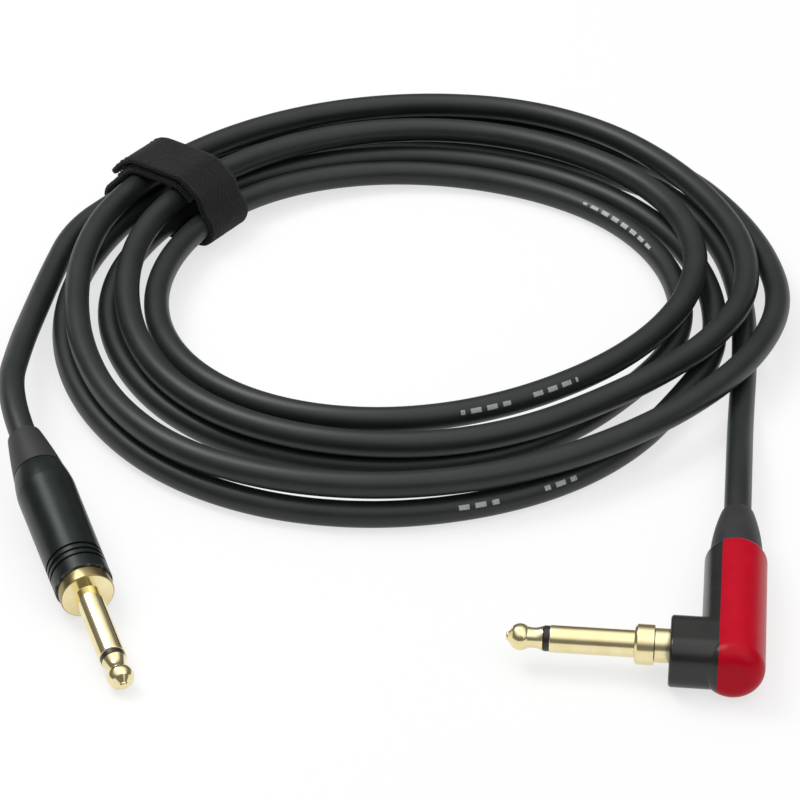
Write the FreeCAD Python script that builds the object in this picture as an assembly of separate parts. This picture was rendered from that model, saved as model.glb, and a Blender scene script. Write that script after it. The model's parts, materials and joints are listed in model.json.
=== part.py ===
import FreeCAD, Part
import math
import os
from FreeCAD import Placement, Rotation, Vector

# Instrument cable with two 6.35 mm phone plugs, one straight and one right-angled with a muting
# switch, wound in a round coil that a hook and loop tie holds. Millimetres, +Z up, and the floor
# at Z = 0. The frame's origin is under the middle of the whole object.

# Places on the floor are measured from the middle of the coil, which lies here
COIL_X = -0.92
COIL_Y = 34.83

# Cable
CABLE_D = 6.6            # outside of the jacket
CORE_R = 0.7             # inner conductor
SCREEN_D = 1.4           # screen, twisted to a pigtail
CABLE_CLEAR = 0.5        # least air between two turns

# Coil, in turns counted anticlockwise from the right
TURN_PITCH = CABLE_D + CABLE_CLEAR
COIL_START = 0.15
COIL_QUARTERS = 21
FLOOR_RADIUS = 89.6      # floor layer at turn 0
FLOOR_AIR = 1.8          # air between two turns of the floor layer, which spirals in
UPPER_AIR = 5.4          # and of the upper layer, which spirals out
REVERSAL = 2.5           # turn where the spiral reverses
CLIMB_TURNS = 0.5        # the climb takes this half turn
DRAW_IN = 6.0            # the upper layer starts this much closer
LAST_TURN = 4.9          # from here the cable swings outside the rest
LAST_AIR = 0.26          # air between the last turn and the first, but for their swings
OUT_TURNS = 0.3
DROP_TURNS = 0.25        # and drops back to the floor
# Where the whole coil is out of round: part of a turn, half width in turns, millimetres outward
COIL_SHAPE = (
    (0.40, 0.12, -1.0),
    (0.65, 0.12, 3.6),
)
# Where one turn swings out or in: turn, half width in turns, millimetres outward
SWINGS = (
    (0.27, 0.20, -2.0),
    (0.62, 0.14, 4.0),
    (0.765, 0.215, 10.4),
    (0.92, 0.08, 1.0),
    (1.28, 0.25, -5.0),
    (2.02, 0.18, 1.2),
    (2.27, 0.25, -5.5),
    (2.54, 0.20, -4.5),
    (2.80, 0.20, -4.5),
    (3.12, 0.28, 11.0),
    (3.70, 0.20, -1.5),
    (4.10, 0.25, 17.0),
    (4.42, 0.20, 1.0),
    (4.66, 0.25, 5.5),
    (5.05, 0.20, 11.5),
)

# Hook and loop tie
TIE_TURN = 0.40          # where it holds the coil
STRANDS = 6              # stretches of cable that it holds
STRAP_W = 16.0
STRAP_T = 1.8
STRAP_CLEAR = 0.4        # air between strap and cable
LIFT_LEVEL = 0.05        # the turns are level this far each side of the tie
LIFT_TURNS = 0.25        # and are down on the floor this far from it
HOOK_T = 0.7             # hook patch under the free end
TAB_T = 1.6
TAB_CLEAR = 0.3          # air between the free end and what it covers
TAB_BACK = 9.0           # the free end starts this far in from the bundle's middle
TAB_DROP = 4.5           # and ends this far below the bundle's top
PATCH_ROOT = 2.0         # the hook patch keeps this far from the free end's root
PATCH_SIDE = 1.0         # from the strap's edges
PATCH_END = 1.5          # and from the free end's end

# Finger of a 6.35 mm phone plug, measured from its tip
FINGER_R = 3.175
FINGER_LENGTH = 31.0     # shoulder to tip
TIP_LENGTH = 8.5         # tip contact outside
RING_LENGTH = 1.5        # insulator between tip and sleeve
RING_SINK = 0.2          # it lies this much below the sleeve's surface
RING_STEP = 0.25         # the tip contact starts this much below the finger's surface
BALL_R = 3.15
BALL_BACK = 3.3          # from the tip's end to its widest place
CROWN_R = 2.6            # the ball's own curve, this many degrees to each side
CROWN_HALF = 40
NECK_R = 2.35
NECK_BACK = 6.3
NOSE_R = 1.1
NOSE_ROUND = 0.5
NOSE_FLAT = 0.45
ROD_R = 1.3
TUBE_R = 2.15            # insulating tube round the rod
TUBE_PROUD = 2.0         # the tube runs on past its sleeve or its cup by this much
CUP_R = 1.8              # solder cup
CUP_LENGTH = 4.5
CUP_WALL = 0.9
CUP_WINDOW = 0.35        # the cup is open above this height
FIT = 0.05               # radial air in every fixed round fit
RUN_FIT = 0.06           # radial air in a running fit
BEVEL = 0.3              # edges of turned parts
SOLDER_AIR = 0.05        # between a wire and what it is soldered to

# Cable grip, the same in both plugs
CHUCK_LENGTH = 13.0      # in the right-angle plug
CHUCK_WALL = 1.35
CHUCK_AIR = 0.1          # round the chuck
CHUCK_ROOT = 3.0         # the jaws are one piece up to here
SLIT = 0.8
STRIP = 0.8              # the jacket shows this far past the chuck
LUG_W = 3.0              # solder lug for the screen
LUG_T = 0.8
LUG_ROOT = 1.0           # the lug starts this far inside its sleeve
SPIGOT_R = 5.1           # male thread, both plugs

# Straight plug, measured back from its shoulder
FLANGE_R = 6.5
FLANGE_T = 3.2
SPIGOT_LENGTH = 7.0
BARREL_R = 7.0
BARREL_RIM = 3.0         # the front of the barrel is straight for this far
BARREL_REAR_R = 7.2
BARREL_TAPER = 7.0       # the rear of the barrel draws in over this length
BARREL_BELLY = 0.1       # the drawn-in part is this much thicker halfway than a cone
BARREL_LENGTH = 41.0
BARREL_WALL = 1.5        # at the rear end
GROOVES = 3              # grip grooves
GROOVE_START = 3.8
GROOVE_STEP = 1.8
GROOVE_W = 0.8
GROOVE_DEPTH = 0.35
BOOT_LENGTH = 14.0
BOOT_SPIGOT = 7.0
BOOT_LIP = 0.95          # wall at the boot's end
BOOT_BELLY = 1.1         # the boot is this much thicker halfway than at its end
LUG_LENGTH = 13.0
LUG_INSET = 1.0          # from the spigot's surface to the lug
LUG_AIR = 1.0            # from the chuck to the lug
LUG_EYE_R = 0.7
CUP_BACK = 2.0           # from the spigot to the solder cup

# Right-angle plug, measured from where its two axes cross
BODY_R = 7.4
BODY_LENGTH = 34.0
BODY_WALL = 1.3
ROOM_R = 5.7             # bore for the cable
SHOULDER_ROUND = 1.2     # rounding of the rear edge
HEEL = 11.0
HEEL_ROUND = 4.5
ARM_LENGTH = 14.5
ARM_FAR = 10.0           # the arm reaches this far towards the heel
ARM_TALLER = 0.1         # half its height is this much more than its near side
ARM_ROUND = 5.0
ARM_FACE_ROUND = 0.8
ARM_HOLLOW = 1.2         # the arm is hollow from here
COVER_SPLIT = 3.4        # cover and housing part here, towards the finger
GLAND_LENGTH = 18.0
GLAND_SPIGOT = 7.0
GLAND_R = 6.3
GLAND_EDGE = 1.5
GLAND_LIP = 0.75         # wall at the nut's end
GLAND_BELLY = 1.5        # the nut is this much thicker halfway than at its end
SHOULDER_PLACE = 4.6     # back of the finger's shoulder
SHOULDER_AIR = 0.2       # round the shoulder, towards the cable
SHOULDER_T = 2.0
CUP_PLACE = 2.1          # front of the solder cup
STOP_W = 0.6             # groove in the sleeve under the collar's front edge
COLLAR_FRONT = 8.0       # from the arm's face to the collar's front, at rest
COLLAR_RING = 4.6
COLLAR_STEP = 0.7        # the ring stands this far out of the skirt
COLLAR_CONE = 0.6
COLLAR_WALL = 0.765
COLLAR_TRAVEL = 1.5      # the socket pushes the collar in by this much
MAGNET_T = 2.5
MAGNET_WALL = 0.85
MAGNET_AIR = 0.3
SPRING_WIRE = 0.5
SPRING_TURNS = 3
SPRING_AIR = 0.35        # round the finger's sleeve
REED_R = 0.8
REED_LENGTH = 6.5
REED_LEAD = 1.0          # from the shoulder's back to the reed's glass
REED_OUT = 6.3           # the reed lies this far towards the heel
REED_UP = 3.2            # and this far up
LEAD_R = 0.25
BOARD_PLACE = 1.6
BOARD_T = 0.8
BOARD_NEAR = 3.2         # from the finger's axis to the board's near edges
BOARD_EDGE = 0.9
BOARD_AIR = 0.2

# Where the plugs lie: the shoulder of the straight one, the crossing of the other one's axes
STRAIGHT_X = -73.9
STRAIGHT_Y = -134.2
STRAIGHT_TURN = -70.5
ANGLE_X = 74.9
ANGLE_Y = -155.6
ANGLE_TURN = 174.3

# Free stretches of the cable between the coil and each plug, from the coil outwards. The third
# number is how far the cable is lifted off the floor.
ANGLE_ROUTE = (
    (87.0, 28.3, 0.0),
    (90.2, -1.8, 0.0),
    (88.4, -28.0, 0.0),
    (84.9, -56.5, 0.0),
)
STRAIGHT_ROUTE = (
    (-94.4, 12.0, 1.7),
    (-97.2, -11.0, 3.3),
    (-98.6, -34.0, 7.7),
)
FIRST_RUN = 20.0         # straight run out of the coil
EXIT_RUN = 18.0          # straight run out of each plug
ARC_SHARE = 0.45         # each arc takes this much of the shorter run beside it

CABLE_R = CABLE_D / 2
FLOOR_PITCH = CABLE_D + FLOOR_AIR
UPPER_PITCH = CABLE_D + UPPER_AIR
TIE_LIFT = STRAP_T + STRAP_CLEAR  # the turns ride up over the strap
SPIRAL_IN = FLOOR_PITCH * (REVERSAL - TIE_TURN)
SPIRAL_OUT = UPPER_PITCH * (LAST_TURN - REVERSAL) - DRAW_IN
LAST_OUT = CABLE_D + LAST_AIR + SPIRAL_IN - SPIRAL_OUT
MOUTH_R = CABLE_R + FIT
PAST = 1.0               # cutters run past what they cut by this much

os.makedirs("parts", exist_ok=True)


# Places and curves

def smooth(x):
    """0 to 1 with level ends."""
    x = min(max(x, 0.0), 1.0)
    return x * x * (3 - 2 * x)


def ramp(x):
    """0 to 1 as two equal arcs would rise."""
    x = min(max(x, 0.0), 1.0)
    return 2 * x * x if x < 0.5 else 1 - 2 * (1 - x) ** 2


def swing(turn, middle, half):
    """1 in the middle, falling smoothly to 0 at both ends."""
    x = (turn - middle) / half
    return (1 - x * x) ** 2 if abs(x) < 1 else 0.0


def coil_radius(turn):
    radius = FLOOR_RADIUS - FLOOR_PITCH * min(turn, REVERSAL)
    if turn > REVERSAL:
        radius += UPPER_PITCH * (min(turn, LAST_TURN) - REVERSAL)
        radius -= DRAW_IN * smooth((turn - REVERSAL) / CLIMB_TURNS)
    if turn > LAST_TURN:
        radius += LAST_OUT * smooth((turn - LAST_TURN) / OUT_TURNS)
    radius += sum(size * swing(turn, middle, half) for middle, half, size in SWINGS)
    return radius + sum(size * swing(turn % 1, middle, half) for middle, half, size in COIL_SHAPE)


def coil_height(turn):
    up = ramp((turn - REVERSAL) / CLIMB_TURNS + 0.5)
    down = ramp((turn - LAST_TURN) / DROP_TURNS)
    off = turn - TIE_TURN - round(turn - TIE_TURN)
    lift = TIE_LIFT * smooth((LIFT_TURNS - abs(off)) / (LIFT_TURNS - LIFT_LEVEL))
    return CABLE_R + TURN_PITCH * (up - down) + lift


def coil_point(turn):
    angle = 2 * math.pi * turn
    radius = coil_radius(turn)
    return placed(radius * math.cos(angle), radius * math.sin(angle), coil_height(turn))


def coil_heading(turn):
    step = 0.0001
    heading = coil_point(turn + step) - coil_point(turn - step)
    return heading.normalize()


def placed(x, y, z):
    return Vector(COIL_X + x, COIL_Y + y, z)


def lying(x, y, lift):
    """Middle of a cable that lies on the floor or is lifted off it."""
    return placed(x, y, CABLE_R + lift)


def arc_edge(start, heading, end):
    """Arc that leaves start along heading and reaches end."""
    chord = end - start
    span = chord.Length
    along = Vector(chord) * (1 / span)
    cosine = heading.dot(along)
    side = heading - along * cosine
    side.normalize()
    rise = span / 2 * math.tan(math.acos(cosine) / 2)
    return Part.Arc(start, (start + end) * 0.5 + side * rise, end).toShape()


def biarc_edges(start, heading, end, end_heading):
    """Two arcs that join two points with given headings."""
    span = end - start
    both = heading + end_heading
    a = 2 * (1 - heading.dot(end_heading))
    b = 2 * span.dot(both)
    c = -span.dot(span)
    reach = (-b + math.sqrt(b * b - 4 * a * c)) / (2 * a) if a > 1e-9 else -c / b
    joint = (start + heading * reach + end - end_heading * reach) * 0.5
    second = arc_edge(end, end_heading * -1, joint)
    return [arc_edge(start, heading, joint), second]


def route_edges(name, points):
    """Straight runs joined by arcs, each as large as its two runs allow."""
    edges = []
    radii = []
    last = points[0]
    for before, corner, after in zip(points, points[1:], points[2:]):
        run_in = corner - before
        run_out = after - corner
        cut = ARC_SHARE * min(run_in.Length, run_out.Length)
        half = run_in.getAngle(run_out) / 2
        radii.append(cut / math.tan(half))
        start = corner - Vector(run_in).normalize() * cut
        end = corner + Vector(run_out).normalize() * cut
        edges.append(Part.LineSegment(last, start).toShape())
        edges.append(arc_edge(start, Vector(run_in).normalize(), end))
        last = end
    edges.append(Part.LineSegment(last, points[-1]).toShape())
    runs = [(b - a).Length for a, b in zip(points, points[1:])]
    print(name, "runs", [round(run, 1) for run in runs], "radii", [round(r) for r in radii])
    return edges


def tube(name, edges, radius):
    """Round tube along joined edges, with its volume held against section times length."""
    path = Part.Wire(Part.sortEdges(edges)[0])
    first = path.OrderedEdges[0]
    start = path.OrderedVertexes[0].Point
    heading = first.tangentAt(first.FirstParameter)
    if (first.valueAt(first.FirstParameter) - start).Length > 0.01:
        heading = first.tangentAt(first.LastParameter) * -1
    section = Part.Wire([Part.Circle(start, heading, radius).toShape()])
    solid = path.makePipeShell([section], True, False)
    plain = math.pi * radius ** 2 * path.Length
    print(name, "length", round(path.Length, 1), "volume ratio", round(solid.Volume / plain, 5))
    return solid


def spread_points(edges, step):
    """Points along joined edges, about one step apart."""
    points = []
    for edge in Part.sortEdges(edges)[0]:
        count = max(2, int(edge.Length / step) + 1)
        points.extend(edge.discretize(count)[:-1])
    return points


def least_gap(name, points, others, skip=0):
    """Prints the least air between two stretches of cable and where it is. On one stretch, skip
    leaves out that many neighbours of each point."""
    best = 1e9
    place = None
    for i, point in enumerate(points):
        for other in others[i + skip:] if skip else others:
            gap = (point - other).Length
            if gap < best:
                best = gap
                place = point
    at = [round(value, 1) for value in (place.x - COIL_X, place.y - COIL_Y, place.z)]
    print("least gap", name, round(best - CABLE_D, 2), "at", at)


# Turned and plain shapes, all about the X axis

def turned(*outline):
    """Solid turned about X from (x, radius) corners; a corner of four numbers ends an arc that
    passes through its last two."""
    edges = []
    here = Vector(outline[0][0], outline[0][1], 0)
    first = here
    for corner in outline[1:]:
        there = Vector(corner[0], corner[1], 0)
        if len(corner) == 4:
            edges.append(Part.Arc(here, Vector(corner[2], corner[3], 0), there).toShape())
        else:
            edges.append(Part.LineSegment(here, there).toShape())
        here = there
    edges.append(Part.LineSegment(here, first).toShape())
    return Part.Face(Part.Wire(edges)).revolve(Vector(), Vector(1, 0, 0), 360)


def rod(x0, x1, radius):
    return Part.makeCylinder(radius, x1 - x0, Vector(x0, 0, 0), Vector(1, 0, 0))


def pipe(x0, x1, radius, bore):
    return rod(x0, x1, radius).cut(rod(x0 - PAST, x1 + PAST, bore))


def block(x0, x1, y0, y1, z0, z1):
    return Part.makeBox(x1 - x0, y1 - y0, z1 - z0, Vector(x0, y0, z0))


def along_y(shape):
    """Turns a shape made about X so that its +X end points to -Y."""
    return shape.transformGeometry(Placement(Vector(), Rotation(Vector(0, 0, 1), -90)).toMatrix())


def save(node, shape, place=None):
    solid = shape.copy()
    if place is not None:
        solid.Placement = place.multiply(solid.Placement)
    solid.exportStep("parts/" + node + ".step")
    return solid


# Cable

def coil_edges():
    edges = []
    turns = [COIL_START + quarter / 4 for quarter in range(COIL_QUARTERS + 1)]
    for turn, after in zip(turns, turns[1:]):
        edges += biarc_edges(coil_point(turn), coil_heading(turn),
                             coil_point(after), coil_heading(after))
    start, end = coil_ends()
    lead_in = Part.LineSegment(start, coil_point(turns[0])).toShape()
    lead_out = Part.LineSegment(coil_point(turns[-1]), end).toShape()
    return [lead_in] + edges + [lead_out]


def coil_ends():
    """The coil ends in a straight stretch, one diameter long, at both ends."""
    last = COIL_START + COIL_QUARTERS / 4
    start = coil_point(COIL_START) - coil_heading(COIL_START) * CABLE_D
    end = coil_point(last) + coil_heading(last) * CABLE_D
    return start, end


def make_cable(straight_place, angle_place):
    step = CABLE_D / 3
    start, end = coil_ends()
    coil = coil_edges()
    mouth = angle_place.multVec(Vector(0, -ANGLE_REAR, 0))
    run = angle_place.multVec(Vector(0, -ANGLE_REAR - EXIT_RUN, 0))
    lead = start - coil_heading(COIL_START) * FIRST_RUN
    angle_points = [start, lead] + [lying(*point) for point in ANGLE_ROUTE] + [run, mouth]
    mouth = straight_place.multVec(Vector(STRAIGHT_REAR, 0, 0))
    run = straight_place.multVec(Vector(STRAIGHT_REAR - EXIT_RUN, 0, 0))
    lead = end + coil_heading(COIL_START + COIL_QUARTERS / 4) * FIRST_RUN
    straight_points = [end, lead] + [lying(*point) for point in STRAIGHT_ROUTE] + [run, mouth]
    angle_tail = route_edges("cable to the right-angle plug", angle_points)
    straight_tail = route_edges("cable to the straight plug", straight_points)
    save("cable_coil", tube("coil", coil, CABLE_R))
    save("cable_to_angle_plug", tube("cable to the right-angle plug", angle_tail, CABLE_R))
    save("cable_to_straight_plug", tube("cable to the straight plug", straight_tail, CABLE_R))
    turns = spread_points(coil, step)
    half_turn = int(math.pi * FLOOR_RADIUS / 2 / step)
    least_gap("in the coil", turns, turns, half_turn)
    beside = int(6 * CABLE_D / step)
    least_gap("beside the right-angle plug's cable", spread_points(angle_tail, step), turns[beside:])
    least_gap("beside the straight plug's cable", spread_points(straight_tail, step), turns[:-beside])


# Finger of either plug, with its tip at X = reach

def finger_parts(reach, cup_end, tube_back):
    """Tip contact with its rod and solder cup, insulator ring and insulating tube."""
    ring = reach - TIP_LENGTH
    ball = reach - BALL_BACK
    half = math.radians(CROWN_HALF)
    crown_x = CROWN_R * math.sin(half)
    crown_r = BALL_R - CROWN_R * (1 - math.cos(half))
    rod_start = cup_end + CUP_LENGTH
    contact = turned(
        (cup_end, 0), (cup_end, CUP_R), (rod_start, CUP_R), (rod_start, ROD_R),
        (ring, ROD_R), (ring, FINGER_R - RING_STEP),
        (ball - crown_x, crown_r, reach - NECK_BACK, NECK_R),
        (ball + crown_x, crown_r, ball, BALL_R),
        (reach - NOSE_ROUND, NOSE_R),
        (reach, NOSE_FLAT, reach - NOSE_ROUND / 4, NOSE_R - NOSE_ROUND / 2), (reach, 0))
    cup_floor = rod_start - CUP_WALL
    hollow = rod(cup_end - PAST, cup_floor, CUP_R - CUP_WALL)
    window = block(cup_end - PAST, cup_floor, -2 * CUP_R, 2 * CUP_R, CUP_WINDOW, 2 * CUP_R)
    contact = contact.cut(hollow).cut(window)
    ring_r = FINGER_R - RING_SINK
    ring_back = ring - RING_LENGTH
    ring_insulator = turned(
        (ring_back, ROD_R + FIT), (ring_back, ring_r), (ring - BEVEL, ring_r),
        (ring, ring_r - BEVEL), (ring, ROD_R + FIT))
    rod_insulator = pipe(tube_back, ring_back, TUBE_R, ROD_R + FIT)
    return contact, ring_insulator, rod_insulator


def chuck_jaws(start, length):
    """Split sleeve that grips the jacket; its jaws are slit from the far end."""
    chuck = pipe(start, start + length, MOUTH_R + CHUCK_WALL, MOUTH_R)
    far = 2 * (MOUTH_R + CHUCK_WALL)
    for turn in (45, 135):
        slot = block(start + CHUCK_ROOT, start + length + PAST, -SLIT / 2, SLIT / 2, -far, far)
        slot.rotate(Vector(), Vector(1, 0, 0), turn)
        chuck = chuck.cut(slot)
    return chuck


# Straight plug, with its shoulder at X = 0

BARREL_END = -FLANGE_T - BARREL_LENGTH
BARREL_BORE = MOUTH_R + CHUCK_WALL + CHUCK_AIR
BARREL_END_R = BARREL_BORE + BARREL_WALL
BOOT_END_R = MOUTH_R + BOOT_LIP
STRAIGHT_REAR = BARREL_END - BOOT_LENGTH
SPIGOT_END = -FLANGE_T - SPIGOT_LENGTH


def straight_place():
    """The plug lies on its barrel's front rim and on the ball of its tip."""
    rim = FLANGE_T + BEVEL
    span = FINGER_LENGTH - BALL_BACK + rim
    rise = BARREL_R - (BALL_R - CROWN_R)
    tilt = math.atan2(rise, span) - math.asin(CROWN_R / math.hypot(rise, span))
    height = BARREL_R * math.cos(tilt) - rim * math.sin(tilt)
    turn = Rotation(Vector(0, 0, 1), STRAIGHT_TURN)
    lean = Rotation(Vector(0, 1, 0), math.degrees(tilt))
    return Placement(placed(STRAIGHT_X, STRAIGHT_Y, height), turn.multiply(lean))


def straight_sleeve(lug_bottom):
    """Finger sleeve with its flange, its threaded spigot and the solder lug behind it."""
    front = FINGER_LENGTH - TIP_LENGTH - RING_LENGTH
    bore = TUBE_R + FIT
    sleeve = turned(
        (SPIGOT_END, bore), (SPIGOT_END, SPIGOT_R), (-FLANGE_T, SPIGOT_R), (-FLANGE_T, FLANGE_R),
        (-BEVEL, FLANGE_R), (0, FLANGE_R - BEVEL), (0, FINGER_R), (front - BEVEL, FINGER_R),
        (front, FINGER_R - BEVEL), (front, bore))
    lug_end = SPIGOT_END - LUG_LENGTH
    lug = block(lug_end, SPIGOT_END + LUG_ROOT, -LUG_W / 2, LUG_W / 2, lug_bottom, lug_bottom + LUG_T)
    eye = Part.makeCylinder(LUG_EYE_R, 3 * LUG_T, Vector(lug_end + LUG_W / 2, 0, lug_bottom - LUG_T))
    return sleeve.fuse(lug.cut(eye)).removeSplitter()


def straight_barrel():
    """Barrel shell, screwed over the spigot, with grip grooves near its front."""
    tail = BARREL_END + BARREL_TAPER
    middle_r = (BARREL_END_R + BARREL_REAR_R) / 2 + BARREL_BELLY
    outside = turned(
        (BARREL_END, 0), (BARREL_END, BARREL_END_R - BEVEL), (BARREL_END + BEVEL, BARREL_END_R),
        (tail, BARREL_REAR_R, BARREL_END + BARREL_TAPER / 2, middle_r),
        (-FLANGE_T - BARREL_RIM, BARREL_R), (-FLANGE_T - BEVEL, BARREL_R),
        (-FLANGE_T, BARREL_R - BEVEL), (-FLANGE_T, 0))
    barrel = outside.cut(rod(SPIGOT_END, 0, SPIGOT_R + FIT))
    barrel = barrel.cut(rod(BARREL_END - PAST, SPIGOT_END + PAST, BARREL_BORE))
    for groove in range(GROOVES):
        x = -FLANGE_T - GROOVE_START - groove * GROOVE_STEP
        cut = pipe(x - GROOVE_W, x, 2 * BARREL_R, BARREL_R - GROOVE_DEPTH)
        barrel = barrel.cut(cut)
    return barrel


def straight_boot():
    """Bushing screwed into the barrel's rear, tapering down to the cable."""
    seat = BARREL_END + BOOT_SPIGOT
    lip = STRAIGHT_REAR + BEVEL
    return turned(
        (STRAIGHT_REAR, MOUTH_R), (STRAIGHT_REAR, BOOT_END_R - BEVEL), (lip, BOOT_END_R),
        (BARREL_END, BARREL_END_R, (STRAIGHT_REAR + BARREL_END) / 2, BOOT_END_R + BOOT_BELLY),
        (BARREL_END, BARREL_BORE - FIT), (seat, BARREL_BORE - FIT), (seat, MOUTH_R))


def make_straight_plug(place):
    cup_end = SPIGOT_END - CUP_LENGTH - CUP_BACK
    lug_bottom = -SPIGOT_R + LUG_INSET
    chuck_start = BARREL_END + BOOT_SPIGOT
    chuck_end = SPIGOT_END - LUG_LENGTH - LUG_AIR
    jacket_end = chuck_end + STRIP
    contact, ring, insulator = finger_parts(FINGER_LENGTH, cup_end, SPIGOT_END - TUBE_PROUD)
    screen_z = lug_bottom + LUG_T + SCREEN_D / 2 + SOLDER_AIR
    screen_x = SPIGOT_END - LUG_LENGTH + LUG_W
    for node, shape in (
            ("straight_tip_contact", contact),
            ("straight_insulator_ring", ring),
            ("straight_rod_insulator", insulator),
            ("straight_finger_sleeve", straight_sleeve(lug_bottom)),
            ("straight_barrel", straight_barrel()),
            ("straight_chuck", chuck_jaws(chuck_start, chuck_end - chuck_start)),
            ("straight_boot", straight_boot()),
            ("straight_jacket_end", rod(STRAIGHT_REAR, jacket_end, CABLE_R)),
            ("straight_core_wire", rod(jacket_end, cup_end + CUP_LENGTH / 2, CORE_R)),
            ("straight_screen_pigtail", rod(jacket_end, screen_x, SCREEN_D / 2).translated(
                Vector(0, 0, screen_z)))):
        save(node, shape, place)


# Right-angle plug: the finger along +X, the cable towards -Y

COLLAR_SKIRT_R = FINGER_R + RUN_FIT + COLLAR_WALL
COLLAR_RING_R = COLLAR_SKIRT_R + COLLAR_STEP
MAGNET_R = COLLAR_SKIRT_R + FIT + MAGNET_WALL
ARM_NEAR = MAGNET_R + MAGNET_AIR + BODY_WALL
ARM_HALF = ARM_NEAR + ARM_TALLER
SHOULDER_R = ARM_NEAR - BODY_WALL - SHOULDER_AIR
GLAND_END_R = MOUTH_R + GLAND_LIP
GLAND_START = BODY_LENGTH - GLAND_SPIGOT
ANGLE_REAR = BODY_LENGTH + GLAND_LENGTH
RING_FRONT = ARM_LENGTH + COLLAR_FRONT
RING_BACK = RING_FRONT - COLLAR_RING
MAGNET_FRONT = ARM_LENGTH - BODY_WALL - MAGNET_AIR
SKIRT_BACK = MAGNET_FRONT - MAGNET_T
ANGLE_TIP = RING_FRONT - COLLAR_TRAVEL + FINGER_LENGTH


def angle_place():
    return Placement(placed(ANGLE_X, ANGLE_Y, BODY_R), Rotation(Vector(0, 0, 1), ANGLE_TURN))


def rounded_end(start, end, radius, rounding):
    """Bar about X whose end is rounded over."""
    quarter = rounding * (1 - math.sqrt(0.5))
    return turned((start, 0), (start, radius), (end - rounding, radius),
                  (end, radius - rounding, end - quarter, radius - quarter), (end, 0))


def along_x(edges):
    return [edge for edge in edges if abs(edge.tangentAt(edge.FirstParameter).x) > 0.9]


def rounded_block(x0, x1, y0, y1, z0, z1, rounding):
    shape = block(x0, x1, y0, y1, z0, z1)
    return shape.makeFillet(rounding, along_x(shape.Edges))


def angle_body():
    """Outside of housing and cover together: a round barrel and a rounded square arm."""
    barrel = rounded_end(0, BODY_LENGTH, BODY_R, SHOULDER_ROUND)
    heel = along_y(rounded_end(0, HEEL, BODY_R, HEEL_ROUND))
    heel.rotate(Vector(), Vector(0, 0, 1), 180)
    arm = rounded_block(0, ARM_LENGTH, -ARM_NEAR, ARM_FAR, -ARM_HALF, ARM_HALF, ARM_ROUND)
    front = [edge for edge in arm.Edges if edge.CenterOfMass.x > ARM_LENGTH - 0.01]
    arm = arm.makeFillet(ARM_FACE_ROUND, front)
    return along_y(barrel).fuse(heel).fuse(arm).removeSplitter()


def angle_hollow():
    """Space for the cable and its wires, and in the arm for the muting switch."""
    room = along_y(rod(0, GLAND_START, ROOM_R))
    room = room.fuse(along_y(rod(BODY_WALL - HEEL + HEEL_ROUND, PAST, ROOM_R)))
    thread = along_y(rod(GLAND_START - PAST, BODY_LENGTH + PAST, SPIGOT_R + FIT))
    half = ARM_HALF - BODY_WALL
    arm = rounded_block(ARM_HOLLOW, ARM_LENGTH - BODY_WALL, BODY_WALL - ARM_NEAR,
                        ARM_FAR - BODY_WALL, -half, half, ARM_ROUND - BODY_WALL)
    skirt = rod(ARM_LENGTH - BODY_WALL - PAST, ARM_LENGTH + PAST, COLLAR_SKIRT_R + RUN_FIT)
    return room.fuse(thread).fuse(arm).fuse(skirt)


def angle_sleeve():
    """Finger sleeve with the shoulder that holds it in the housing and its solder lug."""
    front = ANGLE_TIP - TIP_LENGTH - RING_LENGTH
    shoulder = SHOULDER_PLACE + SHOULDER_T
    bore = TUBE_R + FIT
    groove_r = FINGER_R - BEVEL
    sleeve = turned(
        (SHOULDER_PLACE, bore), (SHOULDER_PLACE, SHOULDER_R), (shoulder, SHOULDER_R),
        (shoulder, FINGER_R), (RING_FRONT - STOP_W, FINGER_R), (RING_FRONT - STOP_W, groove_r),
        (RING_FRONT, groove_r), (RING_FRONT, FINGER_R),
        (front - BEVEL, FINGER_R), (front, FINGER_R - BEVEL), (front, bore))
    lug_y = -SHOULDER_R + LUG_T
    lug = block(BOARD_PLACE + BOARD_T + BOARD_AIR, SHOULDER_PLACE + LUG_ROOT, lug_y - LUG_T, lug_y,
                -LUG_W / 2, LUG_W / 2)
    return sleeve.fuse(lug).removeSplitter()


def switch_collar():
    """Sliding collar: a ring that the socket pushes, and a skirt that runs into the arm."""
    bore = FINGER_R + RUN_FIT
    return turned(
        (SKIRT_BACK, bore), (SKIRT_BACK, COLLAR_SKIRT_R), (RING_BACK, COLLAR_SKIRT_R),
        (RING_BACK, COLLAR_RING_R - BEVEL), (RING_BACK + BEVEL, COLLAR_RING_R),
        (RING_FRONT - COLLAR_CONE, COLLAR_RING_R), (RING_FRONT, COLLAR_RING_R - COLLAR_CONE),
        (RING_FRONT, bore))


def switch_spring():
    """Coil spring round the finger's sleeve, between its shoulder and the collar."""
    wire_r = SPRING_WIRE / 2
    mean = FINGER_R + SPRING_AIR + wire_r
    back = SHOULDER_PLACE + SHOULDER_T + wire_r + FIT
    quarters = SPRING_TURNS * 4
    rise = (SKIRT_BACK - wire_r - FIT - back) / quarters
    places = []
    for quarter in range(quarters + 1):
        angle = math.pi / 2 * quarter
        place = Vector(back + rise * quarter, mean * math.cos(angle), mean * math.sin(angle))
        run = mean * math.pi / 2
        heading = Vector(rise, -run * math.sin(angle), run * math.cos(angle))
        places.append((place, heading.normalize()))
    edges = []
    for here, there in zip(places, places[1:]):
        edges += biarc_edges(*here, *there)
    return tube("switch spring", edges, wire_r)


def reed_switch():
    """Reed switch beside the magnet ring, with the lead that holds it on its board."""
    start = SHOULDER_PLACE + REED_LEAD
    reed = rod(start, start + REED_LENGTH, REED_R)
    reed = reed.fuse(rod(BOARD_PLACE + BOARD_T, start, LEAD_R))
    return reed.translated(Vector(0, REED_OUT, REED_UP))


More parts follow.
